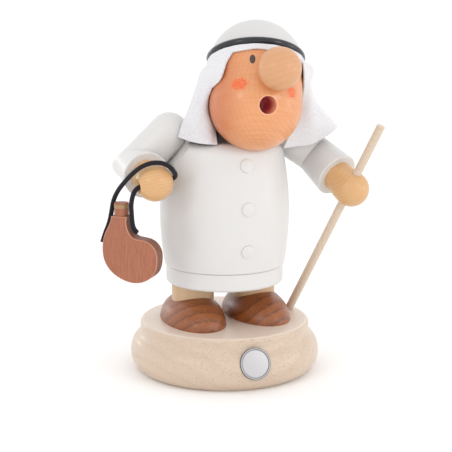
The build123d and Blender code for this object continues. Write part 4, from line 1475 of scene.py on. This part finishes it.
@dataclass
class FlaskGroup:
    """Flask, stopper, band and the lace that they hang on.

    An offset goes from a piece's middle to its growth rings' axis. Front is a place on the
    flask's flat front and inward the way into the wood there. A span says how deep under the
    front a change of tone starts and is complete, in metres. The route is the lace's middle
    line, from the flask's outer edge over the hand to the flask's neck.
    """

    flask_offset: Point = (0.04, 0.05, 0)
    flask_fibre: Point = (0.05, 0, 1)
    stopper_offset: Point = (0, 0.02, 0)
    front: Point = (-0.0526, -0.0204, 0.06585)
    inward: Point = (0.6157, 0.7880, 0.0)
    # Painted shade darkens the side faces, and a painted highlight pales the corner round the front.
    side_painted_shade: Colour = paint(96, 52, 42)
    side_shade_depth: float = 0.62
    side_shade_start: Span = (0.0003, 0.0006)
    edge_painted_highlight: Colour = paint(206, 150, 118)
    edge_highlight_depth: float = 0.6
    edge_highlight_start: Span = (0.00005, 0.0002)
    edge_highlight_end: Span = (0.0006, 0.0004)
    lace_radius: float = 0.0011
    lace_length: float = 0.106
    spline_order: int = 3
    spline_steps: int = 24
    step: float = 0.0003
    sides: int = 24
    mean_share: float = 0.97
    weave_depth: float = 0.035
    weave_rate: float = 6000.0
    weave_strands: int = 4
    tone_pitch: float = 0.0011
    route: tuple[Point, ...] = (
        (-0.0630, -0.0082, 0.0680), (-0.0615, -0.0075, 0.0720), (-0.0597, -0.0085, 0.0767),
        (-0.0591, -0.0103, 0.0818), (-0.0578, -0.0091, 0.0872), (-0.0563, -0.0118, 0.0922),
        (-0.0540, -0.0159, 0.0968), (-0.0516, -0.0199, 0.1009), (-0.0485, -0.0228, 0.1041),
        (-0.0448, -0.0247, 0.1058), (-0.0413, -0.0256, 0.1060), (-0.0380, -0.0259, 0.1052),
        (-0.0346, -0.0251, 0.1028), (-0.0312, -0.0217, 0.0982), (-0.0372, -0.0204, 0.0967),
        (-0.0450, -0.0205, 0.0956), (-0.0509, -0.0205, 0.0940), (-0.0523, -0.0188, 0.0873),
        (-0.0519, -0.0182, 0.0825), (-0.0516, -0.0180, 0.0780), (-0.0506, -0.0175, 0.0746),
        (-0.0491, -0.0173, 0.0733))

    def middle_line(self) -> np.ndarray:
        """Places along the lace, read from a NURBS spline with the route as control points.

        Returns:
            The places, from one end to the other.
        """
        curve = bpy.data.curves.new("lace_line", "CURVE")
        curve.dimensions = "3D"
        spline = curve.splines.new("NURBS")
        spline.points.add(len(self.route) - 1)
        weighted = np.concatenate([np.array(self.route), np.ones((len(self.route), 1))], axis=1)
        spline.points.foreach_set("co", weighted.ravel())
        spline.order_u = self.spline_order
        spline.use_endpoint_u = True
        spline.resolution_u = self.spline_steps
        holder = bpy.data.objects.new("lace_line", curve)
        bpy.context.scene.collection.objects.link(holder)
        bpy.context.view_layer.update()
        mesh = bpy.data.meshes.new_from_object(holder)
        line = np.zeros(len(mesh.vertices) * 3)
        mesh.vertices.foreach_get("co", line)
        bpy.data.objects.remove(holder)
        bpy.data.meshes.remove(mesh)
        bpy.data.curves.remove(curve)
        return line.reshape(-1, 3)

    def directions(self, line: np.ndarray) -> tuple[np.ndarray, np.ndarray]:
        """Two directions square to the line and to each other, carried along it without twist.

        The first is carried from place to place: each time, the part of it that runs along the
        line's new direction is taken out.

        Args:
            line: Places along the lace.

        Returns:
            Both directions at each place.
        """
        way = np.gradient(line, axis=0)
        way /= np.linalg.norm(way, axis=1, keepdims=True)
        across = np.zeros_like(way)
        across[0] = np.cross(way[0], UPRIGHT)
        for index in range(len(way)):
            carried = across[max(index - 1, 0)]
            carried = carried - way[index] * (carried @ way[index])
            across[index] = carried / np.linalg.norm(carried)
        return across, np.cross(way, across)

    def lace(self) -> None:
        """Builds the lace: circles square to its line, woven in shallow ridges, with closed ends.

        A ridge is the greater of two sines that wind round the lace opposite ways.
        """
        line = even_line(self.middle_line(), self.step)
        across, up = self.directions(line)
        angle = np.linspace(0, 2 * np.pi, self.sides, endpoint=False)
        length = np.linspace(0, self.lace_length, len(line))
        along, around = length[:, None] * self.weave_rate, angle * self.weave_strands
        weave = np.maximum(np.sin(along + around), np.sin(along - around))
        radius = self.lace_radius * self.mean_share * (1 + self.weave_depth * weave)
        circles = across[:, None] * np.cos(angle)[None, :, None] + up[:, None] * np.sin(angle)[None, :, None]
        tube = line[:, None] + circles * radius[..., None]
        points = np.concatenate([tube.reshape(-1, 3), line[[0, -1]]])
        count = len(line) * self.sides
        faces = grid_faces(len(line), self.sides, round_columns=True).tolist()
        for first, middle in ((0, count), (count - self.sides, count + 1)):
            rim = first + np.arange(self.sides)
            faces += np.stack([rim, np.roll(rim, -1), np.full(self.sides, middle)], axis=1).tolist()
        shares = angle[None, :] / (2 * np.pi), length[:, None] / self.tone_pitch
        uv = np.stack(np.broadcast_arrays(*shares), axis=-1).reshape(-1, 2)
        lace = build_mesh("black_lace", points, faces, np.concatenate([uv, np.zeros((2, 2))]))
        merge_close(lace)
        lace.data.materials.append(LaceFinish().material())
        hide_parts("flask_strap")
        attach(lace, Body.FLASK.value)

    def flask_material(self) -> bpy.types.Material:
        """The flask's wood, with painted shade on the side faces behind its front and a painted highlight on
        the corner between them.

        Returns:
            The material.
        """
        material = cut_wood("flask", RED_WOOD, self.flask_offset, self.flask_fibre)
        w, shader, colour = reopened(material)
        depth = w.vector("DOT_PRODUCT", w.vector("SUBTRACT", place_of(w), self.front), self.inward)
        # Painted shade on the side faces, and a painted highlight along the corner.
        side = w.math("MULTIPLY", w.step(depth, *self.side_shade_start), self.side_shade_depth)
        colour = w.mix(side, colour, self.side_painted_shade)
        corner_highlight = w.math("MULTIPLY", w.step(depth, *self.edge_highlight_start), w.step(depth, *self.edge_highlight_end))
        corner_highlight = w.math("MULTIPLY", corner_highlight, self.edge_highlight_depth)
        w.feed(shader.inputs["Base Color"], w.mix(corner_highlight, colour, self.edge_painted_highlight))
        return material

    def build(self) -> None:
        """Dresses the flask's nodes and builds its lace."""
        dress("flask", self.flask_material())
        dress_in_wood("flask_stopper", RED_WOOD, self.stopper_offset, UPRIGHT)
        dress("stopper_band", BRASS.material())
        self.lace()
        log.info("flask and lace")


@dataclass(frozen=True)
class Lamp:
    """A square soft light: its place and width in metres, and its power in watts."""

    name: str
    place: Point
    width: float
    power: float

    def build(self, target: Vector) -> None:
        """Adds the light to the scene.

        Args:
            target: What it points at.
        """
        data = bpy.data.lights.new(self.name, "AREA")
        data.size = self.width
        data.energy = self.power
        lamp = bpy.data.objects.new(self.name, data)
        lamp.location = self.place
        lamp.rotation_euler = (target - Vector(self.place)).to_track_quat("-Z", "Y").to_euler()
        bpy.context.scene.collection.objects.link(lamp)


@dataclass
class Studio:
    """Pale floor, soft light and the camera at the photograph's viewing angle.

    The azimuth and how far the camera looks down are in degrees, lens and sensor in millimetres.
    """

    azimuth: float = -21.0
    down: float = 11.06
    distance: float = 0.57389
    sideways: float = 0.00075
    height: float = 0.181812
    lens: float = 96.5
    sensor: float = 36.0
    clip: Span = (0.01, 100.0)
    floor_half: float = 30.0
    floor_lines: int = 5
    floor_light: Colour = paint(254, 254, 254)
    floor_dark: Colour = paint(251, 251, 251)
    floor_scale: float = 8.0
    floor_roughness: float = 0.9
    floor_specular: float = 0.1
    world_strength: float = 1.1
    target: Point = (0, -0.01, 0.09)
    lamps: tuple[Lamp, ...] = (
        Lamp("left_light", (-1.04, -0.55, 0.63), 0.20, 1.25),
        Lamp("right_light", (0.62, -0.99, 0.52), 0.26, 1.4),
        Lamp("low_light", (1.02, -0.52, 0.14), 0.35, 0.9),
        Lamp("rim_light", (-0.50, 1.09, 0.22), 0.12, 0.5))

    def build(self) -> None:
        """Makes camera, floor, world and lights."""
        self.camera()
        self.floor()
        self.world()
        for lamp in self.lamps:
            lamp.build(Vector(self.target))
        log.info("studio")

    def camera(self) -> None:
        """Puts the camera where the photograph was taken from."""
        turn = math.radians(self.azimuth)
        away = Vector((-math.sin(turn), math.cos(turn), 0))
        right = Vector((math.cos(turn), math.sin(turn), 0))
        data = bpy.data.cameras.new("camera")
        data.lens = self.lens
        data.sensor_width = self.sensor
        data.clip_start, data.clip_end = self.clip
        camera = bpy.data.objects.new("camera", data)
        camera.location = right * self.sideways - away * self.distance + Vector((0, 0, self.height))
        camera.rotation_euler = (math.radians(90 - self.down), 0, turn)
        bpy.context.scene.collection.objects.link(camera)
        bpy.context.scene.camera = camera
        bpy.context.scene.view_settings.view_transform = "Standard"

    def floor(self) -> None:
        """Lays a pale floor under the plinth: a level square of even steps both ways."""
        side = np.linspace(-self.floor_half, self.floor_half, self.floor_lines)
        x, y = np.meshgrid(side, side, indexing="xy")
        points = np.stack([x, y, np.zeros_like(x)], axis=-1)
        floor = build_mesh("floor", points, grid_faces(self.floor_lines, self.floor_lines))
        material, w, shader = new_material("floor")
        cloud = w.noise(place_of(w), self.floor_scale)
        w.feed(shader.inputs["Base Color"], w.mix(cloud, self.floor_light, self.floor_dark))
        shader.inputs["Roughness"].default_value = self.floor_roughness
        shader.inputs["Specular IOR Level"].default_value = self.floor_specular
        floor.data.materials.append(material)

    def world(self) -> None:
        """Surrounds the object with even white light."""
        world = bpy.data.worlds.new("studio")
        bpy.context.scene.world = world
        world.use_nodes = True
        background = world.node_tree.nodes["Background"]
        background.inputs["Color"].default_value = (1.0, 1.0, 1.0, 1.0)
        background.inputs["Strength"].default_value = self.world_strength


def main() -> None:
    """Builds the studio and every piece."""
    logging.basicConfig(level=logging.INFO, format="%(message)s")
    Studio().build()
    PlinthGroup().build()
    Feet().build()
    Garment().build()
    Hands().build()
    head = Head()
    head.build()
    Headcloth(head.shape).build()
    FlaskGroup().build()


if __name__ == "__main__":
    main()
